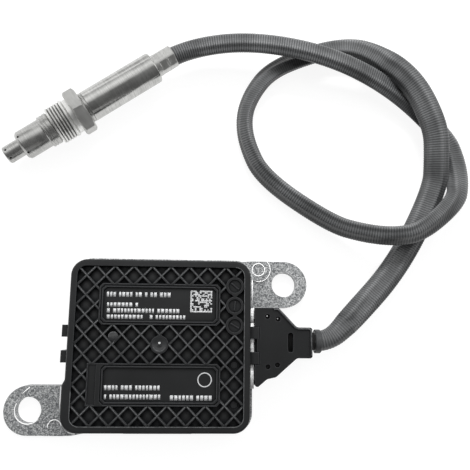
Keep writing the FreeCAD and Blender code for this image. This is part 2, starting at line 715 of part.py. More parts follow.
def outlet_solid():
    """Whole outlet housing before it is split into its two halves."""
    body = outlet_plate(0, OUTLET_Z0, OUTLET_TOP)
    lip = outlet_plate(0, OUTLET_TOP - LIP_H, OUTLET_TOP + LIP_H)
    lip = lip.cut(outlet_plate(LIP_W, OUTLET_TOP - LIP_H, OUTLET_TOP + LIP_H))
    beside_slot = box(OUTLET_X0 + LIP_START, NECK_HIGH - LIP_W, OUTLET_TOP - LIP_H, NECK_END + 1,
                      OUTLET_HIGH + 1, OUTLET_TOP + LIP_H)
    body = fused((body, lip.common(beside_slot)))
    body = body.cut(outlet_plate(OUTLET_WALL, OUTLET_Z0 + OUTLET_WALL, OUTLET_TOP - OUTLET_WALL)
                    .cut(box(NECK_X - SEAL_FLANGE_T, NECK_LOW, 0, NECK_END, NECK_HIGH, OUTLET_TOP)))
    y0 = SPIGOT_Y - SPIGOT_W / 2
    y1 = SPIGOT_Y + SPIGOT_W / 2
    inside = COVER_RIGHT - COVER_WALL
    spigot = box(inside, y0, SPIGOT_Z0, OUTLET_X0, y1, SPIGOT_Z0 + SPIGOT_H)
    body = fused((body, spigot))
    body = body.cut(box(inside, y0 + SPIGOT_WALL, SPIGOT_Z0 + SPIGOT_WALL, OUTLET_X0 + OUTLET_WALL,
                        y1 - SPIGOT_WALL, SPIGOT_Z0 + SPIGOT_H - SPIGOT_WALL))
    axis = V(1, 0, 0)
    bore = Part.makeCylinder(SEAL_R, 2 * NECK_END, V(NECK_X, HOSE_EXIT_Y, HOSE_EXIT_Z), axis)
    recess = Part.makeCylinder(SEAL_FLANGE_R, SEAL_FLANGE_T,
                               V(NECK_X - SEAL_FLANGE_T, HOSE_EXIT_Y, HOSE_EXIT_Z), axis)
    return body.cut(group((bore, recess)))


def outlet_cuts():
    """Slot, peg holes, latch notches and relief in the top of the housing."""
    wide, long = SLOT_SIZE
    x = OUTLET_X0 + SLOT_AT[0]
    y = SLOT_AT[1]
    cuts = [slab(x - wide / 2, y - long / 2, x + wide / 2, y + long / 2, SLOT_END_R * wide,
                 OUTLET_TOP - SLOT_D, OUTLET_TOP)]
    cuts += [disc(OUTLET_X0 + x, y, OUTLET_TOP - OUTLET_WALL, PEG_HOLE_R, OUTLET_WALL)
             for x, y in PEG_SPOTS]
    for y in HOOK_YS:
        cuts.append(box(OUTLET_X0, y - HOOK_W / 2 - DROP_GAP, OUTLET_TOP - LATCH_DEPTH,
                        OUTLET_X0 + OUTLET_WALL + DROP_GAP, y + HOOK_W / 2 + DROP_GAP, OUTLET_TOP))
    gap = HOOK_PITCH - HOOK_W
    cuts.append(box(OUTLET_X0, UNIT_Y - gap / 2 - DROP_GAP, OUTLET_TOP - OUTLET_WALL,
                    OUTLET_X0 + OUTLET_WALL / 2, UNIT_Y + gap / 2 + DROP_GAP, OUTLET_TOP))
    return group(cuts)


def make_outlet_halves():
    """Upper and lower half of the housing, parted at the lead's axis, with locating pegs."""
    whole = outlet_solid()
    reach = NECK_END + 1
    below = box(0, OUTLET_LOW - 1, 0, reach, OUTLET_HIGH + 1, HOSE_EXIT_Z)
    lower = whole.common(below)
    peg_foot = OUTLET_Z0 + OUTLET_WALL / 2
    pegs = [disc(OUTLET_X0 + x, y, peg_foot, PEG_R, OUTLET_TOP - PEG_DROP - peg_foot)
            for x, y in PEG_SPOTS]
    lower = fused([lower] + pegs)
    upper = whole.cut(below).cut(outlet_cuts())
    return upper.removeSplitter(), lower


def along_x(profile):
    """Turned solid on the lead's axis at the housing, from (x, radius) points."""
    solid = turned(profile)
    solid.translate(V(0, HOSE_EXIT_Y, HOSE_EXIT_Z))
    return solid


def make_wire_seal():
    """Rubber plug in the neck, with an inner flange and a stub that the hose butts against."""
    start = NECK_X - SEAL_FLANGE_T
    r = SEAL_R - SLIP_GAP
    flange = SEAL_FLANGE_R - SLIP_GAP
    return along_x(((start, 0), (start, flange), (NECK_X, flange), (NECK_X, r), (NECK_END, r),
                    (NECK_END, SEAL_STUB_R), (HOSE_EXIT_X, SEAL_STUB_R), (HOSE_EXIT_X, 0)))


def make_hose_collar():
    """Flared end ring of the hose at the housing."""
    inner = HOSE_R + COLLAR_PLAY
    rise = COLLAR_R - inner
    end = HOSE_EXIT_X + COLLAR_L
    return along_x(((HOSE_EXIT_X, inner), (HOSE_EXIT_X, COLLAR_R), (end - rise, COLLAR_R),
                    (end, inner + rise / 3), (end, inner)))


def make_lead_wires():
    """Eight insulated leads, fanned out from the seal's holes into one row at the terminals."""
    wires = []
    seal_face = NECK_X - SEAL_FLANGE_T
    for k in range(LEADS):
        seal_y = HOSE_EXIT_Y + (k // 2 - (LEADS / 2 - 1) / 2) * SEAL_LEAD_PITCH
        seal_z = HOSE_EXIT_Z + SEAL_LEAD_RISE * (2 * (k % 2) - 1)
        row_y = SPIGOT_Y + (k - (LEADS - 1) / 2) * LEAD_PITCH
        start = V(seal_face - DROP_GAP, seal_y, seal_z)
        run = V(TERMINAL_X + TERMINAL[0] + DROP_GAP, row_y, LEAD_Z) - start
        wires.append(Part.makeCylinder(LEAD_R, run.Length, start, run))
    return group(wires)


def make_board():
    """Circuit board with its four screw holes."""
    board = unit_slab(BOARD_L, BOARD_W, BOARD_R, BOARD_Z, BOARD_TOP)
    return board.cut(group([disc(x, y, BOARD_Z, SCREW_HOLE_R, BOARD_T) for x, y in SCREW_SPOTS]))


def make_board_screws():
    """Screws with chamfered heads that hold the board to the base's bosses."""
    screws = []
    for x, y in SCREW_SPOTS:
        head = disc(x, y, BOARD_TOP, SCREW_HEAD_R, SCREW_HEAD_H)
        rim = [e for e in head.Edges if e.BoundBox.ZMin > BOARD_TOP + SCREW_HEAD_H - 1e-4]
        head = head.makeChamfer(SCREW_HEAD_H / 3, rim)
        screws.append(fused((head, disc(x, y, BOARD_TOP - SCREW_L, SCREW_R, SCREW_L))))
    return group(screws)


def standing(at, size_x, size_y, height, lift=0.0):
    """Block centred on a place of the board."""
    x, y = at
    return box(x - size_x / 2, y - size_y / 2, BOARD_TOP + lift, x + size_x / 2, y + size_y / 2,
               BOARD_TOP + lift + height)


def packaged_chip(at, size, height):
    """Square chip body over the flat frame of its leads."""
    reach, thick = LEAD_FRAME
    return fused((standing(at, size, size, height, thick),
                  standing(at, size + 2 * reach, size + 2 * reach, thick)))


def make_coil():
    """Shielded power inductor with bevelled upright corners."""
    block = standing(COIL_AT, COIL_SIZE, COIL_SIZE, COIL_H)
    upright = [e for e in block.Edges if e.BoundBox.ZLength > COIL_H / 2]
    return block.makeChamfer(COIL_SIZE / 6, upright)


def make_socket():
    """Connector shroud that stands on the board and opens through the front wall."""
    x0 = SOCKET_X - SOCKET_W / 2
    x1 = SOCKET_X + SOCKET_W / 2
    back = SOCKET_FRONT + SOCKET_D + SOCKET_BACK
    shroud = box(x0, SOCKET_FRONT, SOCKET_Z0, x1, back, SOCKET_Z1)
    upright = [e for e in shroud.Edges if e.BoundBox.YLength > SOCKET_D]
    shroud = shroud.makeFillet(SOCKET_WALL, upright)
    cavity = box(x0 + SOCKET_WALL, SOCKET_FRONT, SOCKET_Z0 + SOCKET_WALL, x1 - SOCKET_WALL,
                 SOCKET_FRONT + SOCKET_D, SOCKET_Z1 - SOCKET_WALL)
    return shroud.cut(cavity).cut(make_socket_pins())


def make_socket_pins():
    """Five bent blades from the socket down to the board."""
    wide, thick = PIN
    wall = SOCKET_FRONT + SOCKET_D
    tail = PIN_END
    pins = []
    for x in PIN_XS:
        blade = box(x - wide / 2, wall - PIN_L, PIN_Z - thick / 2, x + wide / 2, tail, PIN_Z + thick / 2)
        leg = box(x - wide / 2, tail - thick, BOARD_TOP, x + wide / 2, tail, PIN_Z + thick / 2)
        pins.append(fused((blade, leg)))
    return group(pins)


def make_terminals():
    """Row of weld terminals for the eight leads."""
    length, width, height = TERMINAL
    return group([box(TERMINAL_X, y - width / 2, BOARD_TOP, TERMINAL_X + length, y + width / 2,
                      BOARD_TOP + height)
                  for y in (SPIGOT_Y + (k - (LEADS - 1) / 2) * LEAD_PITCH for k in range(LEADS))])


def make_chip_parts():
    """Rows of small surface-mounted resistors and capacitors."""
    length, width, height = CHIP_PART
    return group([standing((CHIPS_AT[0] + i * CHIP_PITCH, CHIPS_AT[1] - j * CHIP_PITCH),
                           length, width, height)
                  for i in range(CHIPS_A_ROW) for j in range(CHIP_ROWS)])


def make_thermal_pad():
    """Soft pad that carries the drivers' heat from the board into the pedestal."""
    px, py = PEDESTAL_AT
    length, width = PEDESTAL
    return slab(px - length / 2, py - width / 2, px + length / 2, py + width / 2, PEDESTAL_R, BASE_H,
                BOARD_Z)


def make_tip_tube():
    """Inner protection tube: closed end with one hole, a ring of vents and a rear flange."""
    inner = TIP_R - TIP_WALL
    rear = SHOULDER_AT
    flange = BORE_R - SLIP_GAP
    tube_shape = turned(((0, TIP_HOLE_R), (0, TIP_R - 0.8), (0.8, TIP_R), (rear, TIP_R), (rear, flange),
                         (rear + TIP_FLANGE_T, flange), (rear + TIP_FLANGE_T, inner),
                         (1.0, inner), (TIP_WALL, inner - 0.6), (TIP_WALL, TIP_HOLE_R)))
    return tube_shape.cut(radial_holes(TIP_VENT_AT, VENT_R, 2 * TIP_R, TIP_VENTS, TIP_VENT_TURN))


def make_shield_tube():
    """Outer protection tube: drawn nose round the inner tube and a ring of vents."""
    inner = SHIELD_R - SHIELD_WALL
    nose = TIP_R + SLIP_GAP
    start = SHIELD_START
    wall_start = start + SHIELD_NOSE
    shape = turned(((start, nose), (start, SHIELD_R - SHIELD_NOSE), (wall_start, SHIELD_R),
                    (COLLAR_START, SHIELD_R), (COLLAR_START, inner),
                    (wall_start + 0.2, inner), (start + SHIELD_WALL, inner - SHIELD_NOSE),
                    (start + SHIELD_WALL, nose)))
    return shape.cut(radial_holes(SHIELD_VENT_AT, VENT_R, 2 * SHIELD_R, SHIELD_VENTS,
                                  SHIELD_VENT_TURN))


def make_shell():
    """Sensor shell: front spigot, grooved seat collar, the nut's bearing and the rear spigot."""
    front = COLLAR_START - SHELL_SPIGOT_L
    spigot = SHIELD_R - SHIELD_WALL - SLIP_GAP
    seat_end = THREAD_START - SEAT_PLAY
    rear = HEX_END + NUT_PLAY
    rear_r = SLEEVE_R - SLEEVE_WALL - SLIP_GAP
    guide = TIP_R + SLIP_GAP
    depth, width = SEAT_GROOVE
    profile = [(front, guide), (front, spigot), (COLLAR_START, spigot), (COLLAR_START, SEAT_R - depth)]
    profile.append((COLLAR_START + depth, SEAT_R))
    for k in (1, 2):
        at = COLLAR_START + k * (seat_end - COLLAR_START) / 4
        profile += [(at, SEAT_R), (at, SEAT_R - depth), (at + width, SEAT_R - depth), (at + width, SEAT_R)]
    profile += [(seat_end - depth, SEAT_R), (seat_end, SEAT_R - depth), (seat_end, SHELL_R),
                (rear, SHELL_R), (rear, rear_r), (SHELL_END, rear_r), (SHELL_END, BORE_R),
                (SHOULDER_AT, BORE_R), (SHOULDER_AT, guide)]
    return turned(profile)


def make_nut():
    """Captive fitting: thread major cylinder, relief and chamfered hexagon on one bored piece."""
    bore = SHELL_R + RUNNING_GAP
    lead = THREAD_LEAD_IN
    barrel = turned(((THREAD_START, bore), (THREAD_START, THREAD_R - lead),
                     (THREAD_START + lead, THREAD_R), (RELIEF_START, THREAD_R),
                     (RELIEF_START + THREAD_R - RELIEF_R, RELIEF_R), (HEX_START, RELIEF_R),
                     (HEX_START, bore)))
    corner_r = HEX_FLATS / math.sqrt(3)
    corners = []
    for k in range(7):
        angle = math.radians(HEX_TURN + 30 + 60 * k)
        corners.append(V(HEX_START, -corner_r * math.sin(angle), corner_r * math.cos(angle)))
    prism = Part.Face(Part.makePolygon(corners)).extrude(V(HEX_END - HEX_START, 0, 0))
    low = corner_r - 2 * HEX_CHAMFER
    crown = turned(((HEX_START, bore), (HEX_START, low), (HEX_START + HEX_CHAMFER, corner_r),
                    (HEX_END - HEX_CHAMFER, corner_r), (HEX_END, low), (HEX_END, bore)))
    return fused((barrel, prism.common(crown)))


def make_thrust_ring():
    """Narrow ring between the hexagon and the sleeve that keeps the nut on the shell."""
    start = HEX_END + NUT_PLAY
    inner = SLEEVE_R - SLEEVE_WALL
    return tube(start, start + RING_T, RING_R, inner)


def make_sleeve():
    """Drawn sleeve over the rear of the sensor, closed by a round shoulder."""
    start = HEX_END + NUT_PLAY + RING_T
    r = SLEEVE_R
    t = SLEEVE_WALL
    mouth = FERRULE_R + SLIP_GAP
    bend = SLEEVE_SHOULDER
    turn = math.sqrt(0.5)
    centre_u = SLEEVE_END - bend
    centre_r = r - bend

    def edge(a, b):
        return Part.LineSegment(V(a[0], 0, a[1]), V(b[0], 0, b[1])).toShape()

    def corner(radius):
        return Part.Arc(V(centre_u, 0, centre_r + radius),
                        V(centre_u + radius * turn, 0, centre_r + radius * turn),
                        V(centre_u + radius, 0, centre_r)).toShape()

    end = SLEEVE_END
    edges = [edge((start, r), (centre_u, r)), corner(bend), edge((end, centre_r), (end, mouth)),
             edge((end, mouth), (end - t, mouth)),
             edge((end - t, mouth), (end - t, centre_r)), corner(bend - t),
             edge((centre_u, r - t), (start, r - t)), edge((start, r - t), (start, r))]
    face = Part.Face(Part.Wire(Part.__sortEdges__(edges)))
    return face.revolve(V(0, 0, 0), V(1, 0, 0), 360)


def make_ferrule():
    """Crimp ferrule that grips the hose: inner flange and two rows of pressed flats."""
    inner = HOSE_R + SLIP_GAP
    flange = SLEEVE_R - SLEEVE_WALL - SLIP_GAP
    start = FERRULE_START
    back = start + FERRULE_FLANGE_T
    end = FERRULE_END
    edge = SMALL_EDGE
    body = turned(((start, inner), (start, flange), (back, flange), (back, FERRULE_R),
                   (end - edge, FERRULE_R), (end, FERRULE_R - edge), (end, inner)))
    jaws = []
    for u in CRIMP_ROWS:
        for k in range(CRIMPS_A_ROW):
            jaw = box(u - CRIMP_L / 2, -FERRULE_R, FERRULE_R - CRIMP_D, u + CRIMP_L / 2, FERRULE_R,
                      2 * FERRULE_R)
            jaw.rotate(V(0, 0, 0), V(1, 0, 0), CRIMP_TURN + 360.0 * k / CRIMPS_A_ROW)
            jaws.append(jaw)
    return body.cut(group(jaws))


def with_slot(ring, u0, u1, size):
    """Cut a straight rectangular passage for the sensing element."""
    wide, high = size
    return ring.cut(box(u0, -wide / 2, -high / 2, u1, wide / 2, high / 2))


def make_stack():
    """Ceramic bushes, powder and metal ring packed round the element inside the shell."""
    r = BORE_R - SLIP_GAP
    slot = (ELEMENT[0] + 2 * SLIP_GAP, ELEMENT[1] + 2 * SLIP_GAP)
    pieces = {}
    at = SHOULDER_AT + TIP_FLANGE_T
    for name, length in (("front_bush", FRONT_BUSH_L), ("powder_packing", POWDER_L),
                         ("rear_bush", REAR_BUSH_L), ("packing_ring", PACKING_RING_T)):
        solid = rod(at, at + length, r)
        if name == "packing_ring":
            solid = tube(at, at + length, r, ELEMENT[0] / 2 + 2 * SLIP_GAP + 0.4)
        else:
            solid = with_slot(solid, at, at + length, slot)
        pieces[name] = solid
        at += length
    return pieces


def make_contact_holder():
    """Insulating holder with a slot for the element and its spring contacts."""
    body = rod(HOLDER_START, HOLDER_END, HOLDER_R)
    return with_slot(body, HOLDER_START, ELEMENT_END + HOLDER_SLOT_PLAY, HOLDER_SLOT)


def make_contacts():
    """Four spring contacts on each face of the element."""
    wide, thick = CONTACT
    first = -(CONTACTS_A_SIDE - 1) * CONTACT_PITCH / 2
    strips = []
    for k in range(CONTACTS_A_SIDE):
        y = first + k * CONTACT_PITCH
        for side in (-1, 1):
            z0, z1 = sorted((side * ELEMENT[1] / 2, side * (ELEMENT[1] / 2 + thick)))
            strips.append(box(CONTACT_START, y - wide / 2, z0, ELEMENT_END, y + wide / 2, z1))
    return group(strips)


def make_sensor_wires():
    """Short insulated leads from the contact holder to the rear plug."""
    wires = []
    for k in range(LEADS):
        angle = 2 * math.pi * k / LEADS
        ring = PLUG_R / 2
        wires.append(Part.makeCylinder(LEAD_R, FERRULE_START - HOLDER_END,
                                       V(HOLDER_END, ring * math.sin(angle), ring * math.cos(angle)),
                                       V(1, 0, 0)))
    return group(wires)


def make_hose():
    """The sleeved lead: one round solid along its laid route, from the ferrule to the outlet."""
    points = [probe_point(PLUG_END), probe_point(HOSE_STRAIGHT_IN)]
    points += [V(*p) for p in HOSE_ROUTE]
    points += [V(HOSE_EXIT_X + run, HOSE_EXIT_Y, HOSE_EXIT_Z) for run in (HOSE_STRAIGHT_OUT, 0)]
    solid, length, radii = tube_along(points, HOSE_R)
    print("hose length", round(length, 1), "radii", [round(r) for r in radii])
    bar = math.pi * HOSE_R ** 2 * length
    print("hose volume over section times length", round(solid.Volume / bar, 4))
    return solid


def build():
    """All nodes of the sensor, by name."""
    upper, lower = make_outlet_halves()
    nodes = {
        "base_plate": make_base(),
        "cover": make_cover(),
        "cover_seal": make_seal(),
        "circuit_board": make_board(),
        "board_screws": make_board_screws(),
        "thermal_pad": make_thermal_pad(),
        "microcontroller": packaged_chip(CONTROLLER_AT, *CONTROLLER),
        "driver_chips": group([packaged_chip(at, *DRIVER) for at in DRIVER_SPOTS]),
        "capacitors": group([disc(x, y, BOARD_TOP, CAN_R, CAN_H) for x, y in CAN_SPOTS]),
        "power_coil": make_coil(),
        "crystal": standing(CRYSTAL_AT, *CRYSTAL),
        "chip_parts": make_chip_parts(),
        "connector_socket": make_socket(),
        "connector_pins": make_socket_pins(),
        "lead_terminals": make_terminals(),
        "lead_wires": make_lead_wires(),
        "outlet_upper": upper,
        "outlet_lower": lower,
        "wire_seal": make_wire_seal(),
        "hose_collar": make_hose_collar(),
        "hose": make_hose(),
    }
    probe = {
        "inner_protection_tube": make_tip_tube(),
        "outer_protection_tube": make_shield_tube(),
        "sensor_shell": make_shell(),
        "fitting_nut": make_nut(),
        "thrust_ring": make_thrust_ring(),
        "rear_sleeve": make_sleeve(),
        "crimp_ferrule": make_ferrule(),
        "rear_plug": rod(FERRULE_START, PLUG_END, PLUG_R),
        "sensing_element": box(ELEMENT_START, -ELEMENT[0] / 2, -ELEMENT[1] / 2,
                               ELEMENT_END, ELEMENT[0] / 2, ELEMENT[1] / 2),
        "contact_holder": make_contact_holder(),
        "holder_band": tube(BAND_START, BAND_START + BAND_L, SLEEVE_R - SLEEVE_WALL - SLIP_GAP,
                            HOLDER_R + SLIP_GAP),
        "contacts": make_contacts(),
        "sensor_wires": make_sensor_wires(),
    }
    probe.update(make_stack())
    nodes.update({name: on_probe(shape) for name, shape in probe.items()})
    return nodes


for node, solid in build().items():
    save(node, solid)
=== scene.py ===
"""Nitrogen oxide sensor: a stainless exhaust probe on a looped, ribbed lead, with its control unit.

Shapes and tables are in millimetres and are turned into metres as they become meshes. The origin
lies midway between the two mounting holes, on the underside of the cast base. +X points towards
the lead's outlet and +Z up.
"""

import math

import bmesh
import bpy
import numpy as np
from mathutils import Matrix, Vector


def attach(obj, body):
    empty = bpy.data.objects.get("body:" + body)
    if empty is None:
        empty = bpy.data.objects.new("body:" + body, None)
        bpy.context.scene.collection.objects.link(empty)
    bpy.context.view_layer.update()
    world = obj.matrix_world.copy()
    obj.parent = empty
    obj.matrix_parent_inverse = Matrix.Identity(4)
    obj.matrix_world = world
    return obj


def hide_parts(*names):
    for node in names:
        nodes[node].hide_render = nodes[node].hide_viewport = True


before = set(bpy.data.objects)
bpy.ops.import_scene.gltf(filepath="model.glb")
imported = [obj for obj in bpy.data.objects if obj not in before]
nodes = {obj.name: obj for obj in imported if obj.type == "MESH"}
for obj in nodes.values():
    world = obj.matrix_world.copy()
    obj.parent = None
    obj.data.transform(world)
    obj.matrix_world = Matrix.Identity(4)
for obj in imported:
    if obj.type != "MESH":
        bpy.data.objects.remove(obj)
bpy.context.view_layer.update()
MM = 0.001
UNIT = "unit_and_probe"
NUT = "fitting_nut"


def show(obj):
    """Links an object into the scene."""
    bpy.context.scene.collection.objects.link(obj)
    return obj


# ---- The photograph's camera

CAMERA_PLACE = (22.766, 8.330, 283.887)
SENSOR_WIDTH = 36.0
FOCAL_LENGTH = 42.13


def photo_camera():
    """Camera at the place and angle that the cover's rib lattice gives for the photograph."""
    lens = bpy.data.cameras.new("photo_camera")
    lens.sensor_width = SENSOR_WIDTH
    lens.lens = FOCAL_LENGTH
    lens.clip_start, lens.clip_end = 0.01, 20.0
    camera = show(bpy.data.objects.new("photo_camera", lens))
    right = Vector((0.99861, 0.01083, 0.05162))
    up = Vector((-0.01940, 0.98552, 0.16844))
    back = Vector((-0.04905, -0.16921, 0.98436))
    turn = Matrix((right, up, back)).transposed()
    camera.matrix_world = Matrix.Translation(Vector(CAMERA_PLACE) * MM) @ turn.to_4x4()
    bpy.context.scene.camera = camera


# ---- Surfaces from formulas


def mesh_piece(name, points, faces, smooth_angle=35.0, flat=False):
    """Puts whole arrays of points (mm) and faces into a new object's mesh."""
    mesh = bpy.data.meshes.new(name)
    points = np.asarray(points, float).reshape(-1, 3) * MM
    faces = np.asarray(faces, np.int32)
    sides = faces.shape[1]
    mesh.vertices.add(len(points))
    mesh.vertices.foreach_set("co", points.ravel())
    mesh.loops.add(faces.size)
    mesh.loops.foreach_set("vertex_index", faces.ravel())
    mesh.polygons.add(len(faces))
    mesh.polygons.foreach_set("loop_start", np.arange(0, faces.size, sides, dtype=np.int32))
    mesh.update(calc_edges=True)
    mesh.validate()
    obj = show(bpy.data.objects.new(name, mesh))
    if not flat:
        mesh.shade_smooth()
        mesh.set_sharp_from_angle(angle=math.radians(smooth_angle))
    return obj


def grid_faces(rows, columns, wrap_rows=False):
    """Quads of a rows by columns grid of points. Each row is a ring, and so is each column if
    wrap_rows is set."""
    i = np.arange(rows if wrap_rows else rows - 1)
    i, j = (a.ravel() for a in np.meshgrid(i, np.arange(columns), indexing="ij"))
    k, l = (i + 1) % rows, (j + 1) % columns
    return np.stack((i * columns + j, i * columns + l, k * columns + l, k * columns + j), axis=1)


def outward(points, faces):
    """Turns all faces over where the closed surface's signed volume is negative."""
    p = points.reshape(-1, 3)
    a, b, c, d = (p[faces[:, k]] for k in range(4))
    volume = np.einsum("ij,ij->i", a, np.cross(b, c)).sum()
    volume += np.einsum("ij,ij->i", a, np.cross(c, d)).sum()
    return faces if volume > 0 else faces[:, ::-1]


def softened_profile(corners, steps):
    """Closed outline whose corners (u, r, radius) become arcs tangent to both sides.

    An arc's point at share t is the centre plus the first tangent point's offset from it, turned by
    t times the angle between the two tangent points.
    """
    corners = np.array(corners, float)
    out = []
    for before, here, after in zip(np.roll(corners, 1, 0), corners, np.roll(corners, -1, 0)):
        p, r = here[:2], here[2]
        a, b = before[:2] - p, after[:2] - p
        room = 0.49 * min(np.hypot(*a), np.hypot(*b))
        a, b = a / np.hypot(*a), b / np.hypot(*b)
        half = math.acos(np.clip(a @ b, -1, 1)) / 2
        if r <= 0 or half > 1.55:
            out.append(p[None])
            continue
        cut = min(r / math.tan(half), room)
        r = cut * math.tan(half)
        middle = (a + b) / np.hypot(*(a + b))
        centre = p + middle * r / math.sin(half)
        start, end = p + a * cut - centre, p + b * cut - centre
        sweep = math.atan2(start[0] * end[1] - start[1] * end[0], start @ end)
        t = np.linspace(0, sweep, steps)[:, None]
        out.append(centre + start * np.cos(t) + np.array((-start[1], start[0])) * np.sin(t))
    return np.concatenate(out)


PROBE_TIP = np.array((-79.0, 92.8, 13.0))
PROBE_TURN = math.radians(35.0)
OUTLET_AXIS = np.array((0.0, 3.0, 11.0))


def on_probe(u, y, z):
    """From the probe's own axis to its place: turned by 35 degrees about Z and moved to the tip."""
    c, s = math.cos(PROBE_TURN), math.sin(PROBE_TURN)
    return np.stack((u * c - y * s, u * s + y * c, z), axis=-1) + PROBE_TIP


def on_outlet(u, y, z):
    """From a plain X axis to the lead's axis at the outlet."""
    return np.stack((u, y, z), axis=-1) + OUTLET_AXIS


def upright(x, y):
    """Place of a piece that is turned about the vertical line through (x, y): u is its height."""
    return lambda u, a, b: np.stack(np.broadcast_arrays(x + a, y + b, u), axis=-1)


def turned(name, profile, place=on_probe, segments=96, radius=None, steps=5):
    """Closed surface of revolution: place(u, r sin a, r cos a) for each profile point and angle a.

    Where radius is given, r is radius(u, r, a) instead of the profile's own.
    """
    rounded = len(profile[0]) == 3
    outline = softened_profile(profile, steps) if rounded else np.array(profile, float)
    a = np.arange(segments) * 2 * math.pi / segments
    u, angle = np.meshgrid(outline[:, 0], a, indexing="ij")
    r = np.repeat(outline[:, 1:2], segments, axis=1)
    if radius is not None:
        r = radius(u, r, angle)
    points = place(u, r * np.sin(angle), r * np.cos(angle))
    faces = grid_faces(len(outline), segments, wrap_rows=True)
    return mesh_piece(name, points, outward(points, faces))


def take_modified(obj):
    """Makes the modifiers' result the object's own mesh."""
    graph = bpy.context.evaluated_depsgraph_get()
    obj.data = bpy.data.meshes.new_from_object(obj.evaluated_get(graph))
    obj.modifiers.clear()


ROUNDED_ABOVE = math.radians(30)     # edges sharper than this are rounded
FLAT_BELOW = math.radians(0.5)       # facets that meet at less than this are one face


def softened(name, node, width):
    """Copy of a solid with its sharp edges rounded by a bevel of the given width."""
    mesh = nodes[node].data.copy()
    mesh.name = name
    bm = bmesh.new()
    bm.from_mesh(mesh)
    bmesh.ops.remove_doubles(bm, verts=bm.verts, dist=1e-6)
    bmesh.ops.dissolve_limit(bm, angle_limit=FLAT_BELOW, verts=bm.verts, edges=bm.edges,
                             delimit={"SHARP"})
    sharp = [e for e in bm.edges if len(e.link_faces) == 2 and e.calc_face_angle() > ROUNDED_ABOVE]
    bmesh.ops.bevel(bm, geom=sharp, offset=width * MM, segments=2, affect="EDGES", profile=0.5,
                    clamp_overlap=True, loop_slide=True)
    bm.to_mesh(mesh)
    bm.free()
    obj = show(bpy.data.objects.new(name, mesh))
    mesh.shade_smooth()
    mesh.set_sharp_from_angle(angle=math.radians(40))
    even = obj.modifiers.new("flat_faces_stay_flat", "WEIGHTED_NORMAL")
    even.weight = 100
    even.keep_sharp = True
    take_modified(obj)
    return obj


def blocks(name, rows):
    """Upright blocks from rows of (low x, low y, low z, high x, high y, high z), in one mesh."""
    rows = np.asarray(rows, float)
    low, high = rows[:, None, :3], rows[:, None, 3:]
    pick = np.array([[i, j, k] for k in (0, 1) for j in (0, 1) for i in (0, 1)])
    points = low * (1 - pick) + high * pick
    quads = np.array(((0, 2, 3, 1), (4, 5, 7, 6), (0, 1, 5, 4),
                      (1, 3, 7, 5), (3, 2, 6, 7), (2, 0, 4, 6)))
    faces = (quads[None] + 8 * np.arange(len(rows))[:, None, None]).reshape(-1, 4)
    return mesh_piece(name, points, faces, flat=True)


RIDGE_ROOT = -0.06      # how deep a ridge's foot sinks into its surface
RIDGE_FOOT, RIDGE_CREST = 0.5, 0.22      # half-widths, as shares of the ridge's width


def ridges(name, lines, width, height):
    """Low ridges along lines of (x, y, z): a trapezoid, width wide at its foot, swept along each.

    A line that ends where it starts is closed round.
    """
    shape = ((-RIDGE_FOOT, RIDGE_ROOT), (-RIDGE_CREST, height),
             (RIDGE_CREST, height), (RIDGE_FOOT, RIDGE_ROOT))
    points, faces, count = [], [], 0
    for line in lines:
        line = np.asarray(line, float)
        closed = len(line) > 3 and np.allclose(line[0], line[-1])
        if closed:
            line = line[:-1]
            run = np.roll(line, -1, axis=0) - np.roll(line, 1, axis=0)
        else:
            run = np.gradient(line, axis=0)
        run = run[:, :2] / np.hypot(run[:, 0], run[:, 1])[:, None]
        across = np.stack((-run[:, 1], run[:, 0], np.zeros(len(run))), axis=1)
        rows = np.stack([line + across * width * a + (0, 0, b) for a, b in shape], axis=1)
        quads = grid_faces(len(line), 4, wrap_rows=closed)
        if not closed:
            last = 4 * (len(line) - 1)
            ends = [(3, 2, 1, 0)], [(last, last + 1, last + 2, last + 3)]
            quads = np.vstack((quads, *ends))
        points.append(rows.reshape(-1, 3))
        faces.append(outward(points[-1], quads) + count)
        count += len(points[-1])
    return mesh_piece(name, np.vstack(points), np.vstack(faces), flat=True)


def arc(x, y, z, r, start, end, steps=40):
    """Points on a level circle about (x, y) between two angles in degrees."""
    a = np.radians(np.linspace(start, end, steps + 1))
    return np.stack((x + r * np.cos(a), y + r * np.sin(a), np.full(len(a), z)), axis=1)


# ---- Materials


def linear(code):
    """An sRGB hex colour as linear RGBA."""
    s = [int(code[i:i + 2], 16) / 255 for i in (1, 3, 5)]
    return (*(c / 12.92 if c <= 0.04045 else ((c + 0.055) / 1.055) ** 2.4 for c in s), 1.0)


def add(tree, kind, inputs=None, stops=None, **settings):
    """Adds one node. settings are its properties and stops a ramp's colours. inputs maps a socket's
    name or number to a value or to the output that feeds it."""
    made = tree.nodes.new("ShaderNode" + kind)
    for key, value in settings.items():
        setattr(made, key, value)
    for key, value in (inputs or {}).items():
        if isinstance(value, bpy.types.NodeSocket):
            tree.links.new(value, made.inputs[key])
        else:
            made.inputs[key].default_value = value
    if stops:
        ramp = made.color_ramp
        while len(ramp.elements) < len(stops):
            ramp.elements.new(0.5)
        for element, (place, code) in zip(ramp.elements, stops):
            element.position = place
            element.color = linear(code)
    return made


def noise(tree, place, scale, **inputs):
    """Soft noise with scale cells to the metre; inputs are its Detail and Roughness."""
    return add(tree, "TexNoise", {"Vector": place, "Scale": scale, **inputs}).outputs["Fac"]


def ramped(tree, value, stops):
    """The colour that a ramp gives a value."""
    return add(tree, "ValToRGB", {"Fac": value}, stops=stops).outputs["Color"]


def ranged(tree, value, low, high, new_low, new_high):
    """A value's range low to high laid on new_low to new_high, and held at both ends."""
    return add(tree, "MapRange", {"Value": value, "From Min": low, "From Max": high,
                                  "To Min": new_low, "To Max": new_high}).outputs[0]


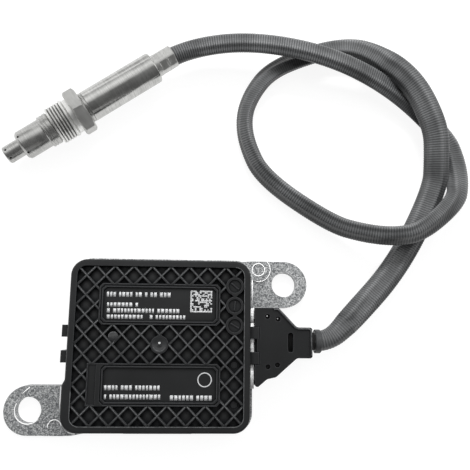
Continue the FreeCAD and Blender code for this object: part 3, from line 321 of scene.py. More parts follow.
def maths(tree, operation, a, b):
    """One sum, product or larger value of a and b."""
    return add(tree, "Math", {0: a, 1: b}, operation=operation).outputs[0]


def bumped(tree, height, strength, depth_mm, **normal):
    """The normal of a surface that rises by up to depth_mm with height."""
    return add(tree, "Bump", {"Height": height, "Strength": strength,
                              "Distance": depth_mm * MM, **normal}).outputs[0]


HIGHLIGHT_REACH = 0.0006      # radius of the ball that finds the edges that get a painted highlight, in metres
CORNER_SHADE_REACH = 0.0025     # radius of the half ball that finds the corners whose sheen is taken out: painted shade


def painted_edge_highlight(tree, colour, code, bare, whole):
    """Colour that turns into the code's, a painted highlight, where the piece fills little of the
    ball round a point.

    The filled share within HIGHLIGHT_REACH is bare or less at an edge and whole or more on a face.
    """
    within = add(tree, "AmbientOcclusion", {"Distance": HIGHLIGHT_REACH}, inside=True,
                 only_local=True, samples=8)
    edge_highlight = ranged(tree, within.outputs["AO"], bare, whole, 1.0, 0.0)
    return add(tree, "MixRGB", {"Fac": edge_highlight, "Color1": colour,
                                "Color2": linear(code)}).outputs["Color"]


def finish_named(name, **sockets):
    """Empty material of that name with one Principled shader; sockets are its constant values."""
    material = bpy.data.materials.new(name)
    material.use_nodes = True
    tree = material.node_tree
    tree.nodes.clear()
    shader = add(tree, "BsdfPrincipled", {k.replace("_", " "): v for k, v in sockets.items()})
    output = add(tree, "OutputMaterial", {"Surface": shader.outputs[0]})
    output.is_active_output = True
    place = add(tree, "TexCoord").outputs["Object"]
    return material, tree, shader, place


def feed(tree, shader, **links):
    """Joins outputs to the shader's sockets."""
    for key, value in links.items():
        tree.links.new(value, shader.inputs[key.replace("_", " ")])


def die_cast_aluminium(name, metallic, pit, low, high):
    """Aluminium alloy, pressure die-cast and tumbled: grainy grey with bright specks, and a white
    painted highlight along its edges.
    """
    material, tree, shader, place = finish_named(name, Metallic=metallic)
    grain = noise(tree, place, 1500.0, Detail=4.0, Roughness=0.7)
    cloud = noise(tree, place, 90.0, Detail=2.0)
    mixed = maths(tree, "ADD", grain, ranged(tree, cloud, 0.0, 1.0, -0.05, 0.05))
    speckled = ramped(tree, mixed, [(0.36, pit), (0.5, low), (0.63, high)])
    # edges turn white: a painted highlight
    feed(tree, shader, Base_Color=painted_edge_highlight(tree, speckled, "#ffffff", 0.25, 0.75),
         Roughness=ranged(tree, grain, 0.3, 0.7, 0.6, 0.4),
         Normal=bumped(tree, grain, 0.3, 0.1))
    return material


def moulded_polyamide(name, low, high, edge_highlight, grain_mm, depth_mm, roughness, rounding):
    """Black glass-filled polyamide, injection moulded: even spark-eroded grain and a soft sheen.

    Its edges turn paler, a painted highlight, and a painted shade takes the sheen out of the
    corners, where little of the half ball of CORNER_SHADE_REACH is open.
    """
    material, tree, shader, place = finish_named(name, IOR=1.53)
    grain = noise(tree, place, 1000 / grain_mm, Detail=2.0)
    cloud = noise(tree, place, 45.0, Detail=3.0)
    plain = ramped(tree, cloud, [(0.35, low), (0.65, high)])
    corner_shade = add(tree, "AmbientOcclusion", {"Distance": CORNER_SHADE_REACH}, samples=8)
    edge = add(tree, "Bevel", {"Radius": rounding * MM}, samples=6)
    # edges turn to the paler colour: a painted highlight
    feed(tree, shader, Base_Color=painted_edge_highlight(tree, plain, edge_highlight, 0.35, 0.8),
         Roughness=ranged(tree, grain, 0.3, 0.7, roughness - 0.08, roughness + 0.08),
         Normal=bumped(tree, grain, 0.4, depth_mm, Normal=edge.outputs[0]),
         # the sheen fades in closed corners: painted shade
         Specular_IOR_Level=ranged(tree, corner_shade.outputs["AO"], 0.45, 1.0, 0.0, 0.36))
    return material


def ribbed_sleeve():
    """Extruded polyamide-blend sleeve: grey crests with painted highlights over grooves with
    painted shade.
    """
    material, tree, shader, place = finish_named("ribbed_lead_sleeve", IOR=1.5)
    crest_light = add(tree, "Attribute", attribute_name="crest_light").outputs["Fac"]
    cloud = noise(tree, place, 60.0, Detail=4.0)
    # from painted shade in the grooves to painted highlights on the crests and ridges
    shade = ramped(tree, maths(tree, "MULTIPLY", crest_light, cloud),
                   [(0.0, "#151616"), (0.25, "#494a4b"), (0.62, "#777879"), (1.0, "#b8b9ba")])
    fine = noise(tree, place, 1500.0, Detail=2.0)
    feed(tree, shader, Base_Color=shade, Roughness=ranged(tree, fine, 0.3, 0.7, 0.34, 0.5),
         Normal=bumped(tree, fine, 0.25, 0.1))
    return material


def turned_stainless(name, low, high, roughness, lines_mm):
    """Austenitic stainless steel, turned on a lathe: rings of fine tool marks round the axis, and
    painted shade where the recess attribute says that a point lies deep."""
    material, tree, shader, place = finish_named(name, Metallic=1.0)
    shifted = add(tree, "Mapping", {"Vector": place, "Rotation": (0.0, 0.0, -PROBE_TURN)},
                  vector_type="POINT")
    axial = add(tree, "Mapping", {"Vector": shifted.outputs[0], "Scale": (1.0, 0.02, 0.02)})
    marks = noise(tree, axial.outputs[0], 1000 / lines_mm, Detail=2.0)
    cloud = noise(tree, place, 160.0, Detail=4.0, Roughness=0.6)
    clean = ramped(tree, maths(tree, "MULTIPLY", marks, cloud), [(0.14, low), (0.34, high)])
    recess = add(tree, "Attribute", attribute_name="recess")
    # darker where the thread's grooves lie deep: painted shade
    root_shade = add(tree, "MixRGB", {"Fac": recess.outputs["Fac"], "Color1": clean,
                                "Color2": linear("#565655")})
    feed(tree, shader, Base_Color=root_shade.outputs["Color"],
         Roughness=ranged(tree, cloud, 0.35, 0.65, roughness, roughness + 0.1),
         Normal=bumped(tree, marks, 0.12, 0.05))
    return material


def plain_finish(name, low, high, scale, roughness, metallic=0.0):
    """A fine-grained finish whose colour drifts between two tones: rubber, laminate, ceramic."""
    material, tree, shader, place = finish_named(name, Metallic=metallic)
    cloud = noise(tree, place, scale, Detail=3.0)
    feed(tree, shader, Base_Color=ramped(tree, cloud, [(0.35, low), (0.65, high)]),
         Roughness=ranged(tree, cloud, 0.3, 0.7, roughness - 0.07, roughness + 0.07),
         Normal=bumped(tree, cloud, 0.2, 0.02))
    return material


CAST = die_cast_aluminium("die_cast_aluminium", 0.6, "#55575a", "#8f9192", "#d9dada")
# a paler copy of the casting's finish: painted highlight
CAST_HIGHLIGHT = die_cast_aluminium("highlit_cast_aluminium", 0.1, "#b4b5b5", "#e6e7e7", "#ffffff")
# pale ridges that carry painted highlights on the cover's ribs and rim and the outlet's lip
CREST_HIGHLIGHT = plain_finish("polyamide_crest_highlights", "#3c3d3e", "#595a5b", 700.0, 0.5)
GATE_BLACK = plain_finish("glossy_polyamide_gate", "#1e1f20", "#2b2c2d", 300.0, 0.35)
# the gate's pale stub, and the painted glints in the outlet's peg holes
PALE_STUB_AND_GLINT = plain_finish("pale_polyamide_stub_and_glints", "#9a9b9c", "#c8c9ca", 900.0, 0.5)
# the third colour of each plastic is the painted highlight on its edges
COVER = moulded_polyamide("moulded_polyamide_cover", "#0f1011", "#161718", "#3c3d3f",
                          grain_mm=0.35, depth_mm=0.03, roughness=0.42, rounding=0.45)
OUTLET = moulded_polyamide("moulded_polyamide_outlet", "#0e0f10", "#141516", "#404143",
                           grain_mm=0.5, depth_mm=0.05, roughness=0.55, rounding=0.3)
SLEEVE = ribbed_sleeve()
STEEL = turned_stainless("turned_stainless", "#9f9f9d", "#bcbcba", 0.22, 0.25)
POLISHED = turned_stainless("drawn_stainless", "#a9a9a7", "#c4c4c2", 0.14, 0.4)
MILLED = turned_stainless("milled_stainless", "#dadad8", "#f4f4f2", 0.42, 0.3)
CRIMPED = turned_stainless("crimped_stainless", "#b6b6b4", "#d2d2d0", 0.36, 0.4)
FORGED = turned_stainless("blasted_stainless", "#b2b2b0", "#cdcdcb", 0.48, 0.2)
COLLAR = plain_finish("heat_shrunk_collar", "#2c2d2e", "#3d3e3f", 400.0, 0.5)
SHADE = plain_finish("unlit_recess", "#020202", "#040404", 400.0, 0.95)
PRINT = plain_finish("laser_marked_polyamide", "#a9aaab", "#c4c5c6", 900.0, 0.6)
RUBBER = plain_finish("moulded_seal_rubber", "#0c0c0c", "#161616", 300.0, 0.7)
LAMINATE = plain_finish("solder_masked_laminate", "#0b3a1f", "#10482a", 200.0, 0.35)
ZINC = plain_finish("zinc_plated_steel", "#9c9d98", "#c3c4bf", 500.0, 0.3, 1.0)
CAN = plain_finish("drawn_aluminium_can", "#b6b7b9", "#cfd0d2", 300.0, 0.3, 1.0)
EPOXY = plain_finish("moulded_epoxy", "#151515", "#1e1e1e", 700.0, 0.6)
TIN = plain_finish("tinned_brass", "#b9b5a8", "#d4d1c6", 400.0, 0.28, 1.0)
WIRE = plain_finish("extruded_wire_insulation", "#3a3b3d", "#4a4b4d", 300.0, 0.5)
CERAMIC = plain_finish("fired_ceramic", "#d9d6cc", "#e8e6de", 300.0, 0.55)
SILICONE = plain_finish("gap_filler_silicone", "#7f8a96", "#93a0ac", 250.0, 0.7)


def paint(obj, material):
    """Gives the whole object one material."""
    obj.data.materials.clear()
    obj.data.materials.append(material)


def stand_for(obj, body, material, slot, *replaced):
    """A finished piece: painted, riding on its body, shown in place of the solids named."""
    paint(obj, material)
    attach(obj, body)
    if replaced:
        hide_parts(*replaced)


# ---- The lead

# x, y, z of the route's points, and the width that the camera sees of the oval sleeve there
LEAD_ROUTE = np.array((
    (-2.0, 146.7, 13.0, 9.8), (8.7, 154.1, 13.0, 9.8), (43, 158.8, 16.0, 9.6),
    (84.9, 151.5, 17.2, 9.9), (122.1, 137.7, 8.2, 10.1), (150.2, 112.2, 5.0, 10.5),
    (154.4, 99, 5.4, 10.7), (154.1, 86, 8.8, 10.7), (150.2, 74.1, 12.6, 10.5),
    (130, 57.4, 17, 9.6), (116, 55, 16.5, 9.4), (102, 57, 13, 9.4), (85.6, 62.5, 8.2, 9.3),
    (50.9, 86.6, 5.8, 9.1), (42.1, 105, 6.4, 8.2), (40.4, 120, 6.4, 7.9), (45, 133.5, 6.4, 8.4),
    (54.8, 146.8, 6.0, 9.0), (74.5, 156.6, 5.5, 9.6), (93.3, 161.4, 6.8, 10.3),
    (108, 157.8, 10.2, 11.5), (127.8, 141, 17, 12.6), (140.2, 114.3, 16.8, 12.4),
    (141.6, 98, 12.5, 12.6), (142.2, 82.5, 7.0, 12.8), (122, 42.2, 4.3, 12.3),
    (93.3, 12.6, 10.5, 11.8), (82.9, 3.0, 11, 10.0), (75.9, 3.0, 11, 9.8)))
LEAD_D = 9.8
SLEEVE_LONG, SLEEVE_SHORT = 6.0, 3.75      # the oval's half-axes
ROUND_END = 22.0        # length at both ends over which the sleeve goes from round to oval
WIDTH_BLEND = 81        # samples over which the seen width is blended
SLEEVE_SIDES = 44
RIB_PITCH = 1.25
RIB_STEPS = 4           # rings of points to a rib
RIB_DEPTH = 0.22
RIB_FADE = 6.0
LEADS_SEEN = 6          # lengthwise ridges that the leads inside press into the sleeve
RIDGE_HEIGHT = 0.4
CREST_SHINE, RIDGE_SHINE = 0.62, 0.38      # painted highlight on a rib's top, and what a ridge adds to it
END_SHINE = 0.5


def spline_line():
    """The route's smooth line: a quadratic NURBS with the route's points as its control points."""
    curve = bpy.data.curves.new("lead_line", "CURVE")
    curve.dimensions = "3D"
    curve.resolution_u = 40
    spline = curve.splines.new("NURBS")
    spline.points.add(len(LEAD_ROUTE) - 1)
    for point, row in zip(spline.points, LEAD_ROUTE):
        point.co = (row[0], row[1], row[2], 1.0)
    spline.order_u = 3
    spline.use_endpoint_u = True
    holder = show(bpy.data.objects.new("lead_line", curve))
    mesh = bpy.data.meshes.new_from_object(holder)
    line = np.empty(3 * len(mesh.vertices))
    mesh.vertices.foreach_get("co", line)
    bpy.data.objects.remove(holder)
    bpy.data.meshes.remove(mesh)
    return line.reshape(-1, 3)


def resampled(line, step):
    """Points at equal steps along a line, and the distance of each from its start."""
    gaps = np.linalg.norm(np.diff(line, axis=0), axis=1)
    along = np.concatenate(((0.0,), np.cumsum(gaps)))
    count = int(round(along[-1] / step)) + 1
    s = np.linspace(0, along[-1], count)
    return np.stack([np.interp(s, along, line[:, k]) for k in range(3)], axis=1), s


def seen_half_width(line, s):
    """Half the route's width at each point of the line, blended along it."""
    nearest = [np.argmin(np.linalg.norm(line - row[:3], axis=1)) for row in LEAD_ROUTE]
    half_w = np.interp(s, s[nearest], LEAD_ROUTE[:, 3]) / 2
    kernel = np.hanning(WIDTH_BLEND)
    padded = np.pad(half_w, WIDTH_BLEND // 2, mode="edge")
    return np.convolve(padded, kernel / kernel.sum(), mode="valid")


def cap_ends(mesh, rings, sides):
    """Closes a tube of rings with a fan of triangles at each end; its last two points are the
    fans' middles."""
    bm = bmesh.new()
    bm.from_mesh(mesh)
    bm.verts.ensure_lookup_table()
    first, last, base = rings * sides, rings * sides + 1, (rings - 1) * sides
    for p in range(sides):
        q = (p + 1) % sides
        bm.faces.new([bm.verts[i] for i in (first, p, q)])
        bm.faces.new([bm.verts[i] for i in (last, base + q, base + p)])
    bmesh.ops.recalc_face_normals(bm, faces=bm.faces)
    bm.to_mesh(mesh)
    bm.free()


def ribbed_lead():
    """The oval, ribbed sleeve along the route.

    The section at distance s is an oval of half-axes A and B. It shows the half-width h when its
    long axis lies at the angle q to the line across the view, where
    cos^2 q = (h^2 - B^2) / (A^2 - B^2), so it leans by the view's own slant less q. The ribs take
    depth * (1 - |sin(pi s / pitch)|^0.8) off every point, which leaves narrow grooves between
    round crests, and the leads inside show as soft ridges, height * cos(6 a).
    """
    line, s = resampled(spline_line(), RIB_PITCH / RIB_STEPS)
    to_end = np.minimum(s, s[-1] - s)
    oval = np.clip(to_end / ROUND_END, 0, 1) ** 2
    long_axis = LEAD_D / 2 + (SLEEVE_LONG - LEAD_D / 2) * oval
    short_axis = LEAD_D / 2 + (SLEEVE_SHORT - LEAD_D / 2) * oval
    span = np.maximum(long_axis ** 2 - short_axis ** 2, 1e-6)
    share = np.clip((seen_half_width(line, s) ** 2 - short_axis ** 2) / span, 0, 1)
    forward = np.gradient(line, axis=0)
    forward /= np.linalg.norm(forward, axis=1)[:, None]
    side = np.cross((0.0, 0.0, 1.0), forward)
    side /= np.linalg.norm(side, axis=1)[:, None]
    upward = np.cross(forward, side)
    gaze = line - CAMERA_PLACE
    slant = np.arctan2((gaze * side).sum(axis=1), -(gaze * upward).sum(axis=1))
    lean = slant - np.arccos(np.sqrt(share))
    a = np.arange(SLEEVE_SIDES) * 2 * math.pi / SLEEVE_SIDES
    groove = 1 - np.abs(np.sin(math.pi * s / RIB_PITCH)) ** 0.8
    fade = np.clip(to_end / RIB_FADE, 0, 1)
    cut = (RIB_DEPTH * groove * fade)[:, None]
    lift = (RIDGE_HEIGHT * oval)[:, None] * np.cos(LEADS_SEEN * a) - cut
    x = (long_axis[:, None] + lift) * np.cos(a)
    y = (short_axis[:, None] + lift) * np.sin(a)
    c, d = np.cos(lean)[:, None], np.sin(lean)[:, None]
    across, above = x * c - y * d, x * d + y * c
    rings = line[:, None] + side[:, None] * across[..., None] + upward[:, None] * above[..., None]
    points = np.concatenate((rings.reshape(-1, 3), line[:1], line[-1:]))
    faces = grid_faces(len(line), SLEEVE_SIDES)
    lead = mesh_piece("lead_sleeve", points, faces[:, ::-1], smooth_angle=60.0)
    cap_ends(lead.data, len(line), SLEEVE_SIDES)
    # paler on the ribs' tops and on the ridges, darker in the grooves: painted highlight and shade
    crest_light = lead.data.attributes.new("crest_light", "FLOAT", "POINT")
    ridge = oval[:, None] * np.maximum(np.cos(LEADS_SEEN * a), 0) ** 3
    shine = (1 - groove)[:, None] * (CREST_SHINE + RIDGE_SHINE * ridge)
    values = np.concatenate((shine.ravel(), (END_SHINE, END_SHINE)))
    crest_light.data.foreach_set("value", values.astype(np.float32))
    lead.data.shade_smooth()
    stand_for(lead, UNIT, SLEEVE, "hose_sleeve", "hose")


# ---- The probe: stations along its axis are counted from the tip

THREAD_R = 10.0
THREAD_PITCH = 1.5
THREAD_DEPTH = 0.7
THREAD_ENDS = (28.4, 36.3)
THREAD_FADE = 0.7
THREAD_RINGS = 20                # rings of points to one pitch
BARREL = (28.0, 28.8, 36.6, 37.5)        # front face, its chamfer's end, thread's end, relief
BARREL_FACE_R, RELIEF_R, NUT_BORE_R = 9.2, 9.1, 7.68
HEX_FLATS = 22.0
HEX_ENDS = (39.6, 46.0)
HEX_TURN = math.radians(-43.0)
HEX_CHAMFER = (0.9, 1.8)         # along the axis and across it
HEX_CORNER_WEAR = 0.12
SIXTH = math.pi / 3


def off_flat(angle, turn):
    """Angle to the middle of the nearest of six flats, the first of which lies at turn."""
    return (angle - turn + SIXTH / 2) % SIXTH - SIXTH / 2


def thread_radius(u, r, angle):
    """Major radius less a round-rooted V groove that climbs one pitch a turn and fades at both
    ends."""
    phase = (u / THREAD_PITCH - angle / (2 * math.pi)) % 1.0
    groove = np.clip(1.15 - 2.3 * np.abs(phase - 0.5), 0, 1)
    start, end = THREAD_ENDS
    fade = np.clip((u - start) / THREAD_FADE, 0, 1) * np.clip((end - u) / THREAD_FADE, 0, 1)
    return np.where(r > THREAD_R - 0.1, r - THREAD_DEPTH * groove * fade, r)


def hexagon_radius(_, r, angle):
    """Least of the cone's radius and the hexagon's, which is half the flats over the cosine of the
    angle to the nearest flat, blunted at the corners."""
    corner = HEX_FLATS / 2 / math.cos(SIXTH / 2)
    flat = np.minimum(HEX_FLATS / 2 / np.cos(off_flat(angle, HEX_TURN)), corner - HEX_CORNER_WEAR)
    return np.where(r > THREAD_R - 0.5, np.minimum(r, flat), r)


def shade_recess(obj):
    """Stores how far each point lies below the thread's crests, as its share of the thread's depth
    to the power 2.5."""
    points = np.empty(3 * len(obj.data.vertices))
    obj.data.vertices.foreach_get("co", points)
    points = points.reshape(-1, 3) / MM - PROBE_TIP
    c, s = math.cos(PROBE_TURN), math.sin(PROBE_TURN)
    u = points[:, 0] * c + points[:, 1] * s
    off = points[:, 1] * c - points[:, 0] * s
    depth = THREAD_R - np.hypot(off, points[:, 2])
    share = np.clip(depth / THREAD_DEPTH, 0, 1) ** 2.5
    share[(u < THREAD_ENDS[0]) | (u > THREAD_ENDS[1])] = 0
    layer = obj.data.attributes.new("recess", "FLOAT", "POINT")
    layer.data.foreach_set("value", share.astype(np.float32))


def fitting_nut():
    """The union nut: threaded barrel, relief and chamfered hexagon on one bored piece."""
    front, rear = HEX_ENDS
    face, chamfered, end, relief = BARREL
    stations = np.arange(chamfered, THREAD_ENDS[1] + 0.05, THREAD_PITCH / THREAD_RINGS)
    barrel = [(face, NUT_BORE_R), (face, BARREL_FACE_R)] + [(u, THREAD_R) for u in stations]
    barrel += [(end, THREAD_R), (relief, RELIEF_R), (front, RELIEF_R), (front, NUT_BORE_R)]
    thread = turned("nut_thread", barrel, segments=144, radius=thread_radius)
    shade_recess(thread)
    along, across = HEX_CHAMFER
    high = HEX_FLATS / math.sqrt(3)
    low = high - across
    rise = np.linspace(0, 1, 9)
    head = [(front, NUT_BORE_R)] + [(front + along * t, low + (high - low) * t) for t in rise]
    head += [(rear - along * t, low + (high - low) * t) for t in rise[::-1]] + [(rear, NUT_BORE_R)]
    hexagon = turned("nut_hexagon", head, segments=288, radius=hexagon_radius)
    stand_for(thread, NUT, MILLED, "stainless")
    stand_for(hexagon, NUT, FORGED, "stainless", "fitting_nut")


FERRULE_R = 5.8
CRIMP_ROWS = (92.4, 97.2)
CRIMP_TURN = math.radians(42.0)
CRIMP_DEPTH = 0.45
JAW_REACH, JAW_FADE = 2.2, 0.7


def crimped_radius(u, r, angle):
    """Radius less the flats that the crimping jaws pressed in: two rows of six.

    At an angle off from a jaw's middle its flat lies at (R - depth) / cos(off). The flat fades at
    both its ends, and the least of the radius and the blend of the two is taken.
    """
    flat = (FERRULE_R - CRIMP_DEPTH) / np.cos(off_flat(angle, -CRIMP_TURN))
    pressed = np.zeros_like(u)
    for at in CRIMP_ROWS:
        pressed = np.maximum(pressed, np.clip((JAW_REACH - np.abs(u - at)) / JAW_FADE, 0, 1))
    pressed = pressed ** 2 * (3 - 2 * pressed)
    wanted = r + (flat - r) * pressed
    return np.where(r > FERRULE_R - 0.1, np.minimum(r, wanted), r)


VENT_R = 0.55
VENT_SIDES = 16
VENT_START = 2.0        # the cutting rods start inside the tubes, at this radius


def drill(obj, u, count, phase, reach):
    """Round vents through a tube's wall at station u: the difference with a star of short rods."""
    rods, faces = [], []
    n = VENT_SIDES
    a = np.arange(n) * 2 * math.pi / n
    du, dt = VENT_R * np.cos(a), VENT_R * np.sin(a)
    for k in range(count):
        turn = math.radians(phase) + 2 * math.pi * k / count
        y, z = math.sin(turn), math.cos(turn)
        rods += [on_probe(u + du, y * far + z * dt, z * far - y * dt)
                 for far in (VENT_START, reach)]
        start = 2 * n * k
        faces.append([start + i for i in range(n)][::-1])
        faces.append([start + n + i for i in range(n)])
        faces += [[start + i, start + (i + 1) % n, start + n + (i + 1) % n, start + n + i]
                  for i in range(n)]
    mesh = bpy.data.meshes.new("vents")
    mesh.from_pydata((np.concatenate(rods) * MM).tolist(), [], faces)
    cutter = show(bpy.data.objects.new("vents", mesh))
    bm = bmesh.new()
    bm.from_mesh(mesh)
    bmesh.ops.recalc_face_normals(bm, faces=bm.faces)
    bm.to_mesh(mesh)
    bm.free()
    cut = obj.modifiers.new("vents", "BOOLEAN")
    cut.operation = "DIFFERENCE"
    cut.object = cutter
    cut.solver = "EXACT"
    take_modified(obj)
    bpy.data.objects.remove(cutter)
    obj.data.shade_smooth()
    obj.data.set_sharp_from_angle(angle=math.radians(35))


# Profiles: station, radius and the corner's own radius
TIP_TUBE = [(0, 1.2, 0.05), (0, 4.5, 0.9), (29.5, 4.5, 0.05), (29.5, 5.4, 0.1), (30.1, 5.4, 0.1),
            (30.1, 4.1, 0.05), (1.0, 4.1, 0.5), (0.4, 3.5, 0.1), (0.4, 1.2, 0.05)]
SHIELD = [(8.8, 4.55, 0.05), (8.8, 6.3, 0.3), (10.0, 7.5, 0.6), (22.3, 7.5, 0.1),
          (22.3, 7.0, 0.05), (10.2, 7.0, 0.3), (9.3, 5.8, 0.2), (9.3, 4.55, 0.05)]
SHELL = [(18.5, 4.55, 0.05), (18.5, 6.95, 0.1), (22.3, 6.95, 0.05), (22.3, 7.9, 0.1),
         (22.8, 8.4, 0.25), (23.55, 8.4, 0.1), (23.7, 8.1, 0.05), (24.0, 8.1, 0.05),
         (24.15, 8.4, 0.1), (24.9, 8.4, 0.1), (25.05, 8.1, 0.05), (25.35, 8.1, 0.05),
         (25.5, 8.4, 0.1), (27.1, 8.4, 0.25), (27.6, 7.9, 0.1), (27.6, 7.6, 0.05),
         (46.3, 7.6, 0.05), (46.3, 7.45, 0.02), (52.0, 7.45, 0.1), (52.0, 5.45, 0.1),
         (29.5, 5.45, 0.02), (29.5, 4.55, 0.02)]
THRUST_RING = [(46.3, 7.5, 0.05), (47.8, 7.5, 0.05), (47.8, 7.95, 0.25), (46.3, 7.95, 0.25)]
REAR_SLEEVE = [(47.8, 7.5, 0.05), (47.8, 8.1, 0.15), (88.0, 8.1, 2.1), (88.0, 5.85, 0.1),
               (87.4, 5.85, 0.1), (87.4, 7.5, 1.6)]
FERRULE = [(84.0, 4.95), (84.0, 7.45), (85.0, 7.45)]
FERRULE += [(u, FERRULE_R) for u in np.linspace(85.0, 99.2, 72)]
FERRULE += [(99.42, 5.7), (99.5, 5.45), (99.5, 4.95)]


def probe():
    """Every turned piece of the probe's outside, from the tip back."""
    tube = turned("inner_tube", TIP_TUBE, segments=80)
    outer = turned("outer_tube", SHIELD)
    drill(tube, 1.7, count=6, phase=12, reach=9.0)
    drill(outer, 10.4, count=5, phase=16, reach=15.0)
    seat = turned("seat_collar", SHELL)
    ring = turned("thrust_ring_turned", THRUST_RING)
    rear = turned("rear_sleeve_drawn", REAR_SLEEVE, segments=112, steps=9)
    ferrule = turned("crimped_ferrule", FERRULE, segments=180, radius=crimped_radius)
    for obj, node, finish in (
            (tube, "inner_protection_tube", STEEL), (outer, "outer_protection_tube", STEEL),
            (seat, "sensor_shell", STEEL), (ring, "thrust_ring", STEEL),
            (rear, "rear_sleeve", POLISHED), (ferrule, "crimp_ferrule", CRIMPED)):
        stand_for(obj, UNIT, finish, "stainless", node)


# ---- The control unit

# Printed lines of the two fields: low x, low y, high x, high y; then the block square and the ring
PRINTED_LINES = ((-23.8, 22.8, 6.0, 25.0), (-23.5, 18.2, -8.7, 20.1), (-23.4, 15.4, 10.9, 17.4),
                 (-23.3, 12.6, -5.7, 14.5), (-3.5, 12.6, 13.3, 14.5), (-23.0, -19.4, 4.1, -17.3),
                 (-22.8, -23.4, 2.5, -21.3), (6.9, -23.8, 27.0, -21.6))
PRINTED_SQUARE = (15.1, 15.9, 25.3, 26.1)
SQUARE_COUNT = 14
PRINTED_RING = (22.5, -14.6, 3.3, 0.45)      # centre x, y, outer radius, line width
FIELD_Z = 23.75
PRINT_T = 0.04
MARK_SEED = 20
BLOCK_WIDTHS = (0.9, 1.5)
SHORTEST_BLOCK = 0.8
BLOCK_GAP, WORD_GAP, WORD_SHARE = 0.5, 1.5, 0.16


def marks():
    """Laser-marked rows of plain blocks, a square of blocks and a plain ring in the two fields."""
    rng = np.random.default_rng(MARK_SEED)
    z0, z1 = FIELD_Z - PRINT_T, FIELD_Z + PRINT_T
    rows = []
    for x0, y0, x1, y1 in PRINTED_LINES:
        x = x0
        while x < x1 - SHORTEST_BLOCK:
            width = min(rng.uniform(*BLOCK_WIDTHS), x1 - x)
            rows.append((x, y0, z0, x + width, y1, z1))
            x += width + (WORD_GAP if rng.random() < WORD_SHARE else BLOCK_GAP)
    x0, y0, x1, y1 = PRINTED_SQUARE
    step = (x1 - x0) / SQUARE_COUNT
    on = rng.random((SQUARE_COUNT, SQUARE_COUNT)) < 0.5
    on[0, :] = on[:, 0] = True
    for i, j in np.argwhere(on):
        rows.append((x0 + i * step, y0 + j * step, z0,
                     x0 + (i + 1) * step, y0 + (j + 1) * step, z1))
    stand_for(blocks("field_marks", rows), UNIT, PRINT, "black_moulding")
    x, y, r, line = PRINTED_RING
    section = [(z0, r - line), (z1, r - line), (z1, r), (z0, r)]
    ring = turned("field_ring", section, segments=48, place=upright(x, y))
    stand_for(ring, UNIT, PRINT, "black_moulding")


GATE = (1.4, 1.0)
GATE_R = 3.2
DOME = (-19.9, 4.4)
DOME_R = 2.4
COVER_TOP = 25.0


def gate_dish():
    """The gate's hollow: a shallow bowl whose floor rises with the square of the distance by
    0.55 mm, from a flat middle of 0.4 mm radius to its rim."""
    floor, rise, foot, flat_r = 24.06, 0.55, 23.95, 0.4
    bowl = [(floor + rise * t ** 2, flat_r + (GATE_R - flat_r) * t) for t in np.linspace(0, 1, 9)]
    line = [(foot, 0.3)] + bowl + [(foot, GATE_R)]
    return turned("gate_dish", line, place=upright(*GATE), segments=64)


def gate_stub():
    """The torn end of the sprue, a little beyond the middle of its hollow."""
    line = [(24.5, 0.02), (24.5, 0.6), (24.85, 0.5), (COVER_TOP, 0.02)]
    return turned("gate_stub", line, place=upright(GATE[0], GATE[1] + 0.75), segments=24)


def dome_cap():
    """Low dome beside the upper field: its height falls by 0.8 (r / R) squared."""
    fall, foot = 0.8, 22.7
    line = [(COVER_TOP - fall * t ** 2, max(DOME_R * t, 0.02)) for t in np.linspace(0, 1, 13)]
    line += [(foot, DOME_R), (foot, 0.02)]
    return turned("dome_cap", line, place=upright(*DOME), segments=64)


LATTICE = (78.0, 72.2, 9, 8)     # length, width, columns and rows of the ribs' diamonds
RIB_TOP = 24.65
RIM_GAP = 0.4
KEPT_CLEAR = ((-27.0, 9.9, 29.1, 29.0), (-31.0, -26.4, 29.6, -7.5))      # the two fields
ROUND_CLEAR = ((*GATE, 4.1), (*DOME, DOME_R),
               (36.0, 28.4, 4.2), (36.0, 19.2, 4.2), (36.0, 10.0, 4.2))  # gate, dome and clocks
SHORTEST_CREST = 10              # steps
RIM_LEFT, RIM_RIGHT, RIM_LOW, RIM_HIGH, RIM_R = -37.7, 40.5, -35.3, 37.2, 4.3


